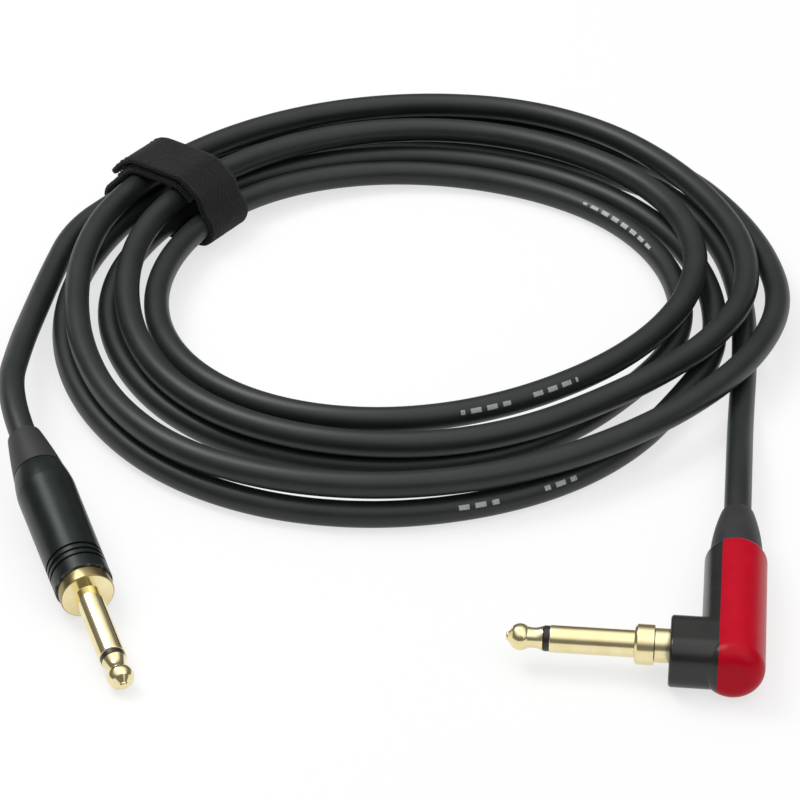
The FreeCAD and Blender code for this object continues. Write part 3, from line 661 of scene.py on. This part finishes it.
def tie_lines():
    """Middle lines of the band, which starts under itself and rises over its own start, of the
    free end that goes on from it, and of the hook field under the free end."""
    stations = bundle_stations()
    lap = len(stations) // 2
    foot = stations[0][0].x
    tops = [x for x, z in bundle_points() if z > BUNDLE_TOP - CABLE_D]
    root = (min(tops) + max(tops)) / 2 - TAB_BACK
    under, over = STRAP_CLEAR + STRAP_T / 2, TAB_INNER + TAB_T / 2
    band = []
    for count, station in enumerate(stations):
        risen = smooth((station[0].x - foot) / RISE_RUN)
        if count < lap:
            if risen == 1 or band:
                band.append(off_bundle(station, under))
            continue
        place = off_bundle(station, under + (over - under) * risen)
        if place.x > root:
            break
        band.append(place)
    free = [off_bundle(station, over) for station in stations[lap:]]
    free = cut_line(free, root - TAB_NEST, BUNDLE_TOP - TAB_DROP)
    hooks = [off_bundle(station, STRAP_CLEAR + STRAP_T + HOOK_BASE / 2) for station in stations]
    hooks = cut_line(hooks, root + PATCH_ROOT, BUNDLE_TOP - TAB_DROP + PATCH_END)
    return band, free, hooks, root


def cut_line(points, start, low):
    """The stretch of a clockwise line from this far out, over the top and down to this height."""
    kept = []
    for point in points:
        if point.x > start:
            if point.y < low:
                break
            kept.append(point)
    return kept


def outer_face(points, distance):
    """A clockwise line moved outward."""
    moved = []
    for before, here, after in zip(points[:1] + points, points, points[1:] + points[-1:]):
        way = (after - before).normalized()
        moved.append(here + Vector((-way.y, way.x, 0.0)) * distance)
    return moved


def drawn_in(tree, strap, run):
    """A strap whose end is drawn in over this length as a rounded tip is."""
    place = tree.add("GeometryNodeInputPosition")
    parts = tree.add("ShaderNodeSeparateXYZ", {}, {0: place}).node.outputs
    short = tree.maths("DIVIDE", tree.stored("left", "FLOAT"), run)
    gone = tree.maths("SUBTRACT", 1.0, tree.maths("MINIMUM", short, 1.0))
    round_off = tree.maths("SQRT", tree.maths("SUBTRACT", 1.0, tree.maths("MULTIPLY", gone, gone)))
    kept = tree.maths("MULTIPLY_ADD", round_off, 1 - TIP_SHARE, TIP_SHARE)
    narrow = tree.add("ShaderNodeCombineXYZ", {},
                      {0: parts[0], 1: parts[1], 2: tree.maths("MULTIPLY", parts[2], kept)})
    return tree.add("GeometryNodeSetPosition", {}, {"Geometry": strap, "Position": narrow})


def strap_tree(name, finish, width, thickness, tip=0.0):
    """Flat strap along a curve, with rounded edges and, where tip is more than 0, a drawn-in end.
    Each point stores how far along and across it lies, and how much is left to the end."""
    tree = Tree(name, Width=width, Thickness=thickness, Edge=thickness * EDGE_SHARE, Step=0.0006,
                Tip=tip)
    curve = tree.add("GeometryNodeResampleCurve", {"mode": "LENGTH"},
                     {"Curve": tree.inputs["Geometry"], "Length": tree.inputs["Step"]})
    length = tree.add("GeometryNodeSplineParameter", output="Length")
    along = tree.store(curve, "along", length)
    total = tree.add("GeometryNodeSplineLength", output="Length")
    left = tree.store(along, "left", tree.maths("SUBTRACT", total, length))
    upright = tree.add("GeometryNodeSetCurveNormal", {"mode": "Z_UP"}, {"Curve": left})
    section = tree.add("GeometryNodeCurvePrimitiveQuadrilateral", {},
                       {"Width": tree.inputs["Thickness"], "Height": tree.inputs["Width"]})
    filleted = tree.add("GeometryNodeFilletCurve", {"mode": "POLY"},
                        {"Curve": section, "Count": 4, "Radius": tree.inputs["Edge"]})
    fine = tree.add("GeometryNodeResampleCurve", {"mode": "LENGTH"},
                    {"Curve": filleted, "Length": tree.inputs["Step"]})
    body = tree.add("GeometryNodeCurveToMesh", {},
                    {"Curve": upright, "Profile Curve": fine, "Fill Caps": True})
    place = tree.add("GeometryNodeInputPosition")
    strap = tree.store(body, "across", tree.add("ShaderNodeSeparateXYZ", {}, {0: place}, "Z"))
    if tip:
        strap = drawn_in(tree, strap, tree.inputs["Tip"])
    pile = tree.add("ShaderNodeTexNoise", {},
                    {"Vector": place, "Scale": 1 / TUFT, "Detail": 2.0})
    height = tree.maths("MULTIPLY_ADD", pile, PILE_HEIGHT, -PILE_HEIGHT / 2)
    raised = tree.add("ShaderNodeVectorMath", {"operation": "SCALE"},
                      {0: tree.add("GeometryNodeInputNormal"), "Scale": height})
    tufted = tree.add("GeometryNodeSetPosition", {}, {"Geometry": strap, "Offset": raised})
    tree.finish(tree.add("GeometryNodeSetShadeSmooth", {}, {"Geometry": tufted}), finish.material)
    return tree


def hook_tree(finish):
    """Rows of small stems with heads, across a strap, all along a curve."""
    tree = Tree("hooks", Pitch=HOOK_PITCH, Height=HOOK_T - HOOK_BASE, Foot=0.00010, Head=0.00022)
    curve = tree.add("GeometryNodeResampleCurve", {"mode": "LENGTH"},
                     {"Curve": tree.inputs["Geometry"], "Length": tree.inputs["Pitch"]})
    stem = tree.add("GeometryNodeMeshCone", {},
                    {"Vertices": 6, "Radius Top": tree.inputs["Head"],
                     "Radius Bottom": tree.inputs["Foot"], "Depth": tree.inputs["Height"]})
    upright = tree.add("GeometryNodeTransform", {},
                       {"Geometry": stem, "Rotation": (-math.pi / 2, 0.0, 0.0),
                        "Translation": (0.0, HOOK_BASE / 2, 0.0)})
    count = int(PATCH_W / HOOK_PITCH)
    first = -(count - 1) * HOOK_PITCH / 2
    row = tree.add("GeometryNodeMeshLine", {},
                   {"Count": count, "Start Location": (0.0, 0.0, first),
                    "Offset": (0.0, 0.0, HOOK_PITCH)})
    hooks = tree.add("GeometryNodeInstanceOnPoints", {}, {"Points": row, "Instance": upright})
    tree.finish(tree.along(curve, hooks), finish.material)
    return tree


def stitch_tree(finish):
    """Two rows of thread stitches along a curve."""
    tree = Tree("stitches", Pitch=0.0024, Length=0.0017, Thread=0.00034, Row=0.0064)
    curve = tree.add("GeometryNodeResampleCurve", {"mode": "LENGTH"},
                     {"Curve": tree.inputs["Geometry"], "Length": tree.inputs["Pitch"]})
    ball = tree.add("GeometryNodeMeshUVSphere", {}, {"Segments": 8, "Rings": 6, "Radius": 0.5})
    thread = tree.inputs["Thread"]
    size = tree.add("ShaderNodeCombineXYZ", {}, {0: tree.inputs["Length"], 1: thread, 2: thread})
    stitch = tree.add("GeometryNodeTransform", {}, {"Geometry": ball, "Scale": size})
    sides = []
    for side in (-1, 1):
        place = tree.add("ShaderNodeCombineXYZ", {},
                         {2: tree.maths("MULTIPLY", tree.inputs["Row"], side)})
        sides.append(tree.add("GeometryNodeTransform", {},
                              {"Geometry": stitch, "Translation": place}))
    both = tree.add("GeometryNodeJoinGeometry")
    for side in sides:
        tree.group.links.new(side, both.node.inputs[0])
    rows = tree.along(curve, both)
    tree.finish(tree.add("GeometryNodeSetShadeSmooth", {}, {"Geometry": rows}), finish.material)
    return tree


def strap_finish():
    """Black loop pile between two woven edges."""
    finish = Finish("strap_fabric", Sheen_Weight=0.12, Sheen_Roughness=0.5, Specular_IOR_Level=0.15)
    place = finish.place()
    across, along = finish.stored("across"), finish.stored("along")
    pile = finish.noise(place, size=0.0007, detail=5, roughness=0.75)
    edge = abs(across).step(*FABRIC_EDGE)
    weave = along.wave(FABRIC_WEAVE[0]) * across.wave(FABRIC_WEAVE[1]) * 0.5 + 0.5
    height = edge * weave + (1 - edge) * pile
    faded = finish.noise(place, size=0.006)
    finish.set(Base_Color=finish.ramp(faded, (0.3, FABRIC[0]), (0.8, FABRIC[1])),
               Roughness=0.75 + 0.2 * pile,
               Normal=finish.relief(height, depth=0.0005, strength=0.9))
    return finish


def thread_finish(name, low, high):
    """Twisted thread, or moulded hooks, in a grey between two."""
    finish = Finish(name, Specular_IOR_Level=0.35)
    twist = finish.noise(finish.place(), size=0.0003, detail=2)
    finish.set(Base_Color=finish.ramp(twist, (0.3, (low,) * 3), (0.7, (high,) * 3)),
               Roughness=0.4 + 0.3 * twist)
    return finish


def make_tie():
    band_line, free_line, hook_line, root = tie_lines()
    pile = strap_finish()
    thread = thread_finish("tie_thread", 0.012, 0.030)
    hooks = thread_finish("hook_plastic", 0.008, 0.016)
    face = outer_face(free_line, TAB_T / 2 + STITCH_PROUD)[STITCHED]
    pieces = (
        ("tie_band", band_line, strap_tree("band", pile, STRAP_W, STRAP_T)),
        ("tie_free_end", free_line, strap_tree("free end", pile, TAB_W, TAB_T, TAB_ROUND)),
        ("tie_hook_base", hook_line, strap_tree("hook base", hooks, PATCH_W, HOOK_BASE)),
        ("tie_hooks", hook_line, hook_tree(hooks)),
        ("tie_stitches", face, stitch_tree(thread)),
    )
    made = {}
    for name, points, tree in pieces:
        line = spline_object(name + "_line", points)
        made[name] = grown(name, line, tree)
        made[name].data.transform(TIE)
        bpy.data.objects.remove(line)
    for name in ("tie_band", "tie_hook_base", "tie_hooks"):
        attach(made[name], "cable_and_plugs")
    for name in ("tie_free_end", "tie_stitches"):
        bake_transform(made[name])
    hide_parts("tie_strap")
    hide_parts("tie_hook_patch")
    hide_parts("tie_tab")


# Sleeves and collar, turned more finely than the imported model's, in each plug's own frame

SEGMENTS = 144
CORNER_STEPS = 5
SHARP_ANGLE = math.radians(30)
FINGER_R = 0.003175
BEVEL = 0.0003
BREAK = 0.0001           # sharp edges are broken by about this much
BORE_R = 0.0022
FLANGE_R = 0.0065
FLANGE_T = 0.0032
SPIGOT_R = 0.0051
SPIGOT_END = -0.0102
STRAIGHT_SLEEVE_END = 0.0210
SHOULDER_BACK = 0.0046
SHOULDER_FACE = 0.0066
SHOULDER_R = 0.0050
ANGLE_SLEEVE_END = 0.0420
COLLAR_BORE_R = FINGER_R + 0.00006
SKIRT_END = 0.0104
SKIRT_R = 0.0040
RING_BACK = 0.0179
RING_FRONT = 0.0225
RING_R = 0.0047
RING_CONE = 0.0006
STOP_W = 0.0006          # groove in the sleeve under the collar's front edge
LUG_W = 0.0030
LUG_T = 0.0008
LUG_ROOT = 0.0010
STRAIGHT_LUG_LENGTH = 0.0130
STRAIGHT_LUG_R = 0.0041
ANGLE_LUG_LENGTH = 0.0020
# An outline's corners are (x, radius, rounding)
STRAIGHT_SLEEVE = (
    (SPIGOT_END, BORE_R, 0), (SPIGOT_END, SPIGOT_R, 2 * BREAK), (-FLANGE_T, SPIGOT_R, 0),
    (-FLANGE_T, FLANGE_R, 1.5 * BREAK), (0, FLANGE_R, BEVEL), (0, FINGER_R, BREAK),
    (STRAIGHT_SLEEVE_END, FINGER_R, BEVEL), (STRAIGHT_SLEEVE_END, BORE_R, 0),
)
ANGLE_SLEEVE = (
    (SHOULDER_BACK, BORE_R, 0), (SHOULDER_BACK, SHOULDER_R, BREAK),
    (SHOULDER_FACE, SHOULDER_R, BREAK), (SHOULDER_FACE, FINGER_R, 0),
    (RING_FRONT - STOP_W, FINGER_R, BREAK / 2), (RING_FRONT - STOP_W, FINGER_R - BEVEL, 0),
    (RING_FRONT, FINGER_R - BEVEL, 0), (RING_FRONT, FINGER_R, BREAK / 2),
    (ANGLE_SLEEVE_END, FINGER_R, BEVEL), (ANGLE_SLEEVE_END, BORE_R, 0),
)
COLLAR = (
    (SKIRT_END, COLLAR_BORE_R, 0), (SKIRT_END, SKIRT_R, BREAK), (RING_BACK, SKIRT_R, BREAK),
    (RING_BACK, RING_R, BEVEL), (RING_FRONT - RING_CONE, RING_R, 2 * BREAK),
    (RING_FRONT, RING_R - RING_CONE, 1.5 * BREAK), (RING_FRONT, COLLAR_BORE_R, BREAK / 2),
)
# A solder lug is a box: from and to along X, Y and Z
STRAIGHT_LUG = (
    (SPIGOT_END - STRAIGHT_LUG_LENGTH, SPIGOT_END + LUG_ROOT),
    (-LUG_W / 2, LUG_W / 2),
    (-STRAIGHT_LUG_R, LUG_T - STRAIGHT_LUG_R),
)
ANGLE_LUG = (
    (SHOULDER_BACK - ANGLE_LUG_LENGTH, SHOULDER_BACK + LUG_ROOT),
    (-SHOULDER_R, LUG_T - SHOULDER_R),
    (-LUG_W / 2, LUG_W / 2),
)
# Each plug's turned nodes: body, outline and solder lug
TURNED = {
    "straight": {"straight_finger_sleeve": ("cable_and_plugs", STRAIGHT_SLEEVE, STRAIGHT_LUG)},
    "angle": {"angle_finger_sleeve": ("cable_and_plugs", ANGLE_SLEEVE, ANGLE_LUG),
              "switch_collar": ("mute_collar", COLLAR, None)},
}


def rounded(corners):
    """The points of a closed outline, each corner rounded by its radius."""
    points = []
    for before, here, after in zip(corners[-1:] + corners[:-1], corners, corners[1:] + corners[:1]):
        corner, radius = Vector(here[:2]), here[2]
        if not radius:
            points.append(corner)
            continue
        ways = [(Vector(other[:2]) - corner).normalized() for other in (before, after)]
        half = ways[0].angle(ways[1]) / 2
        middle = corner + (ways[0] + ways[1]).normalized() * (radius / math.sin(half))
        start, end = ((corner + way * (radius / math.tan(half)) - middle).normalized()
                      for way in ways)
        points += [middle + start.slerp(end, step / CORNER_STEPS) * radius
                   for step in range(CORNER_STEPS + 1)]
    return points


def turned_piece(name, plug, corners, lug):
    """Shape turned about a plug's X axis from its outline, with a solder lug if it has one."""
    shape = bmesh.new()
    rings = []
    for x, radius in rounded(corners):
        angles = (2 * math.pi * segment / SEGMENTS for segment in range(SEGMENTS))
        rings.append([shape.verts.new((x, radius * math.cos(a), radius * math.sin(a)))
                      for a in angles])
    for ring, following in zip(rings, rings[1:] + rings[:1]):
        for i in range(SEGMENTS):
            shape.faces.new((ring[i - 1], ring[i], following[i], following[i - 1]))
    if lug:
        size = Vector(high - low for low, high in lug)
        middle = Vector((low + high) / 2 for low, high in lug)
        box = Matrix.Translation(middle) @ Matrix.Diagonal((*size, 1.0))
        bmesh.ops.create_cube(shape, size=1.0, matrix=box)
    bmesh.ops.recalc_face_normals(shape, faces=shape.faces)
    mesh = bpy.data.meshes.new(name)
    shape.to_mesh(mesh)
    shape.free()
    mesh.shade_smooth()
    mesh.set_sharp_from_angle(angle=SHARP_ANGLE)
    mesh.transform(plug)
    piece = bpy.data.objects.new(name, mesh)
    bpy.context.collection.objects.link(piece)
    return piece


# Finishes of the plugs. A pair of colours is that of its darkest and its lightest blotches.

TURNING = 0.00012
# Width of the painted shade at the straight plug's flange rim
RIM_WIDTH = 0.0004
GOLD_ROUGHNESS = 0.12
GOLD = ((0.82, 0.70, 0.38), (0.92, 0.82, 0.51))
# Darker gold for the painted shade on the straight plug's flange rim
GOLD_RIM_SHADE = (0.30, 0.24, 0.11)
BARREL = ((0.006, 0.010, 0.009), (0.013, 0.019, 0.017))
BARREL_EDGE_PATCH = (0.10, 0.095, 0.075)
SHELL = ((0.010, 0.0095, 0.009), (0.018, 0.017, 0.0155))
RED = ((0.42, 0.0005, 0.012), (0.50, 0.0008, 0.016))
BOOT = ((0.015, 0.0145, 0.017), (0.024, 0.023, 0.026))
INSULATOR = ((0.010, 0.008, 0.006), (0.018, 0.014, 0.010))
INNER_PLASTIC = ((0.55, 0.52, 0.43), (0.66, 0.63, 0.54))
GLASS = ((0.45, 0.62, 0.50), (0.55, 0.72, 0.60))
COPPER = ((0.60, 0.27, 0.14), (0.78, 0.42, 0.25))
STEEL = ((0.42, 0.42, 0.44), (0.56, 0.56, 0.58))
MAGNET = ((0.55, 0.53, 0.50), (0.66, 0.64, 0.60))
BOARD = ((0.010, 0.085, 0.035), (0.018, 0.125, 0.052))
TRACE = (0.030, 0.190, 0.080)


def turned_finish(name, plug, colours, roughness, **constants):
    """Metal turned on a lathe: fine rings round the plug's own axis, and finger marks."""
    finish = Finish(name, **constants)
    place = finish.place_on(plug)
    mark = finish.blotched(place, size=0.005, colours=colours)
    rings = finish.noise(finish.stretched(place, 1.0, 0.02, 0.02), size=TURNING, detail=2)
    finish.set(Roughness=roughness + 0.14 * mark,
               Normal=finish.relief(rings, depth=0.000006, strength=0.6))
    return finish


def moulded_finish(name, colours, roughness, grain=0.0005, depth=0.00002, **constants):
    """Moulded plastic or rubber with a fine grain."""
    finish = Finish(name, **constants)
    place = finish.place()
    blotch = finish.blotched(place, size=0.008, colours=colours)
    finish.set(Roughness=roughness + 0.12 * blotch,
               Normal=finish.relief(finish.noise(place, size=grain), depth, strength=0.5))
    return finish


def shade_flange_rim(gold):
    """Paints shade on the rim of the straight plug's flange as a darker gold, and makes it duller.
    """
    out = gold.add("VectorMath", {"operation": "LENGTH"},
                   {0: gold.stretched(gold.place_used, 0.0, 1.0, 1.0)}, "Value")
    # painted shade: the flange's outer rim, facing out, turns a darker gold
    rim = out.step(FLANGE_R - RIM_WIDTH, FLANGE_R - BREAK) * (gold.place_used.part("X") > -FLANGE_T)
    gold.set(Base_Color=gold.blend(rim, gold.colour, GOLD_RIM_SHADE),
             Roughness=GOLD_ROUGHNESS + 0.16 * rim)


def barrel_finish():
    """Black metal, lighter and browner in patches at its front edge."""
    barrel = turned_finish("barrel_metal", STRAIGHT, BARREL, 0.26, Metallic=0.4,
                           Specular_IOR_Level=0.35)
    edge = abs(barrel.place_used.part("X") + FLANGE_T).step(0.0005, 0.0001)
    patchy = barrel.noise(barrel.place_used, size=0.0012, detail=4).step(0.42, 0.58)
    barrel.set(Base_Color=barrel.blend(edge * patchy, barrel.colour, BARREL_EDGE_PATCH))
    return barrel


def finish_plugs():
    for name, plug in (("straight", STRAIGHT), ("angle", ANGLE)):
        gold = turned_finish("gold_plate_" + name, plug, GOLD, GOLD_ROUGHNESS, Metallic=1.0)
        if name == "straight":
            shade_flange_rim(gold)
        coat(gold, name + "_tip_contact")
        for node, (body, outline, lug) in TURNED[name].items():
            piece = turned_piece("turned_" + node, plug, outline, lug)
            piece.data.materials.append(gold.material)
            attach(piece, body)
            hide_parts(node)
    coat(barrel_finish(), "straight_barrel")
    coat(moulded_finish("black_shell", SHELL, 0.22, Specular_IOR_Level=0.45), "angle_housing")
    coat(moulded_finish("red_cover", RED, 0.24, grain=0.0012, depth=0.00001,
                        Specular_IOR_Level=0.12), "angle_cover")
    coat(moulded_finish("boot_rubber", BOOT, 0.48), "straight_boot", "angle_gland_nut")
    coat(moulded_finish("insulator", INSULATOR, 0.3), "straight_insulator_ring",
         "angle_insulator_ring", "straight_rod_insulator", "angle_rod_insulator")
    coat(moulded_finish("inner_plastic", INNER_PLASTIC, 0.4), "straight_chuck", "angle_chuck")
    coat(moulded_finish("reed_glass", GLASS, 0.04, Transmission_Weight=0.7), "reed_switch")


# The collar's return spring, in the right-angle plug's frame

SPRING_TURNS = 3
SPRING_WIRE_R = 0.00025
SPRING_AIR = 0.00035     # round the finger's sleeve
SPRING_MEAN_R = FINGER_R + SPRING_AIR + SPRING_WIRE_R
SPRING_FIT = 0.00005
SPRING_SIDES = 16
SPRING_STEP = 0.0004


def make_spring(steel):
    """Spring round the finger, from the shoulder to the collar's skirt. It is one fixed piece and
    does not flatten as the collar is pushed in.
    """
    start = SHOULDER_FACE + SPRING_WIRE_R + SPRING_FIT
    rise = SKIRT_END - SPRING_WIRE_R - SPRING_FIT - start
    steps = SPRING_TURNS * POINTS_PER_TURN
    points = []
    for step in range(steps + 1):
        angle = 2 * math.pi * step / POINTS_PER_TURN
        around = SPRING_MEAN_R * Vector((0.0, math.cos(angle), math.sin(angle)))
        points.append(ANGLE @ (around + Vector((start + rise * step / steps, 0.0, 0.0))))
    line = spline_object("spring_line", points)
    tree = round_tree("spring", steel, SPRING_WIRE_R, SPRING_SIDES, SPRING_STEP)
    spring = grown("collar_spring", line, tree)
    bpy.data.objects.remove(line)
    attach(spring, "cable_and_plugs")
    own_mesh(spring)
    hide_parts("switch_spring")


def copper_finish():
    """Copper with fine upright streaks."""
    finish = Finish("copper", Metallic=1.0)
    streaks = finish.noise(finish.stretched(finish.place(), 1.0, 1.0, 0.2), size=0.0004)
    finish.set(Base_Color=finish.ramp(streaks, (0.3, COPPER[0]), (0.7, COPPER[1])),
               Roughness=0.25 + 0.2 * streaks,
               Normal=finish.relief(streaks, depth=0.00005, strength=0.6))
    return finish


def board_finish():
    """Green laminate with its weave, and tracks under the lacquer."""
    finish = Finish("circuit_board")
    place = finish.place_on(ANGLE)
    weave = place.part("Y").wave(0.0006) * place.part("Z").wave(0.0006) * 0.5 + 0.5
    trace = abs(place.part("Y").wave(0.0024)).step(0.75, 0.85)
    green = finish.ramp(weave, (0.2, BOARD[0]), (0.8, BOARD[1]))
    finish.set(Base_Color=finish.blend(trace, green, TRACE),
               Roughness=0.35 + 0.1 * weave,
               Normal=finish.relief(trace, depth=0.00003, strength=0.6))
    return finish


def finish_switch():
    coat(copper_finish(), "straight_core_wire", "straight_screen_pigtail", "angle_core_wire",
         "angle_screen_pigtail")
    make_spring(turned_finish("spring_steel", ANGLE, STEEL, 0.22, Metallic=1.0))
    coat(turned_finish("magnet_metal", ANGLE, MAGNET, 0.16, Metallic=1.0), "switch_magnet")
    coat(board_finish(), "switch_board")


# Camera, floor and lights

TARGET = COIL_MIDDLE + Vector((-0.0011, -0.0428, 0.0))
DISTANCE = 0.88
FOCAL_PIXELS = 3432
FRAME_PIXELS = 800
FLOOR_HALF = 6.0
FLOOR_GLOW = 0.7         # how far the floor is pure white to the camera and in reflections
# Lamps: place, side and watts
LAMPS = {
    "key lamp": ((-0.5, 0.3, 0.9), 0.5, 5.0),
    "fill lamp": ((0.7, -0.6, 0.7), 0.8, 1.5),
}
# The sky's glow from this height to that one, from dim to bright
SKY = {"From Min": 0.45, "From Max": 0.95, "To Min": 0.20, "To Max": 1.40}


def make_camera():
    data = bpy.data.cameras.new("camera")
    data.sensor_fit = "HORIZONTAL"
    data.lens = data.sensor_width * FOCAL_PIXELS / FRAME_PIXELS
    camera = bpy.data.objects.new("camera", data)
    bpy.context.collection.objects.link(camera)
    camera.location = TARGET + TO_CAMERA * DISTANCE
    camera.rotation_euler = (math.pi / 2 - CAMERA_PITCH, 0.0, 0.0)
    bpy.context.scene.camera = camera


def make_floor():
    finish = Finish("floor", Roughness=0.6, Base_Color=(0.85, 0.85, 0.85))
    camera = finish.add("LightPath", {}, {}, "Is Camera Ray")
    glossy = finish.add("LightPath", {}, {}, "Is Glossy Ray")
    glow = finish.add("Emission", {}, {"Color": (1.0, 1.0, 1.0), "Strength": 1.0})
    mixed = finish.add("MixShader", {}, {0: (camera + glossy) * FLOOR_GLOW, 2: glow})
    finish.links.new(finish.shader.outputs[0], mixed.socket.node.inputs[1])
    finish.links.new(mixed.socket, finish.nodes["Material Output"].inputs["Surface"])
    mesh = bpy.data.meshes.new("floor")
    corners = [(x * FLOOR_HALF, y * FLOOR_HALF, 0) for x, y in ((-1, -1), (1, -1), (1, 1), (-1, 1))]
    mesh.from_pydata(corners, [], [(0, 1, 2, 3)])
    mesh.materials.append(finish.material)
    floor = bpy.data.objects.new("floor", mesh)
    bpy.context.collection.objects.link(floor)


def make_lamp(name, place, size, power):
    data = bpy.data.lights.new(name, "AREA")
    data.size = size
    data.energy = power
    lamp = bpy.data.objects.new(name, data)
    bpy.context.collection.objects.link(lamp)
    lamp.location = place
    lamp.rotation_euler = (-Vector(place)).to_track_quat("-Z", "Y").to_euler()


def make_world():
    """White light from a sky that is brighter overhead."""
    world = bpy.data.worlds.new("studio")
    bpy.context.scene.world = world
    world.use_nodes = True
    nodes, links = world.node_tree.nodes, world.node_tree.links
    place = nodes.new("ShaderNodeTexCoord")
    parts = nodes.new("ShaderNodeSeparateXYZ")
    links.new(place.outputs["Generated"], parts.inputs[0])
    glow = nodes.new("ShaderNodeMapRange")
    glow.interpolation_type = "SMOOTHSTEP"
    for name, value in SKY.items():
        glow.inputs[name].default_value = value
    links.new(parts.outputs["Z"], glow.inputs["Value"])
    background = nodes["Background"]
    background.inputs["Color"].default_value = (1.0, 1.0, 1.0, 1.0)
    links.new(glow.outputs["Result"], background.inputs["Strength"])
    bpy.context.scene.view_settings.view_transform = "Standard"


make_camera()
make_world()
make_floor()
for title, lamp in LAMPS.items():
    make_lamp(title, *lamp)
finish_plugs()
finish_switch()
make_cable()
make_tie()
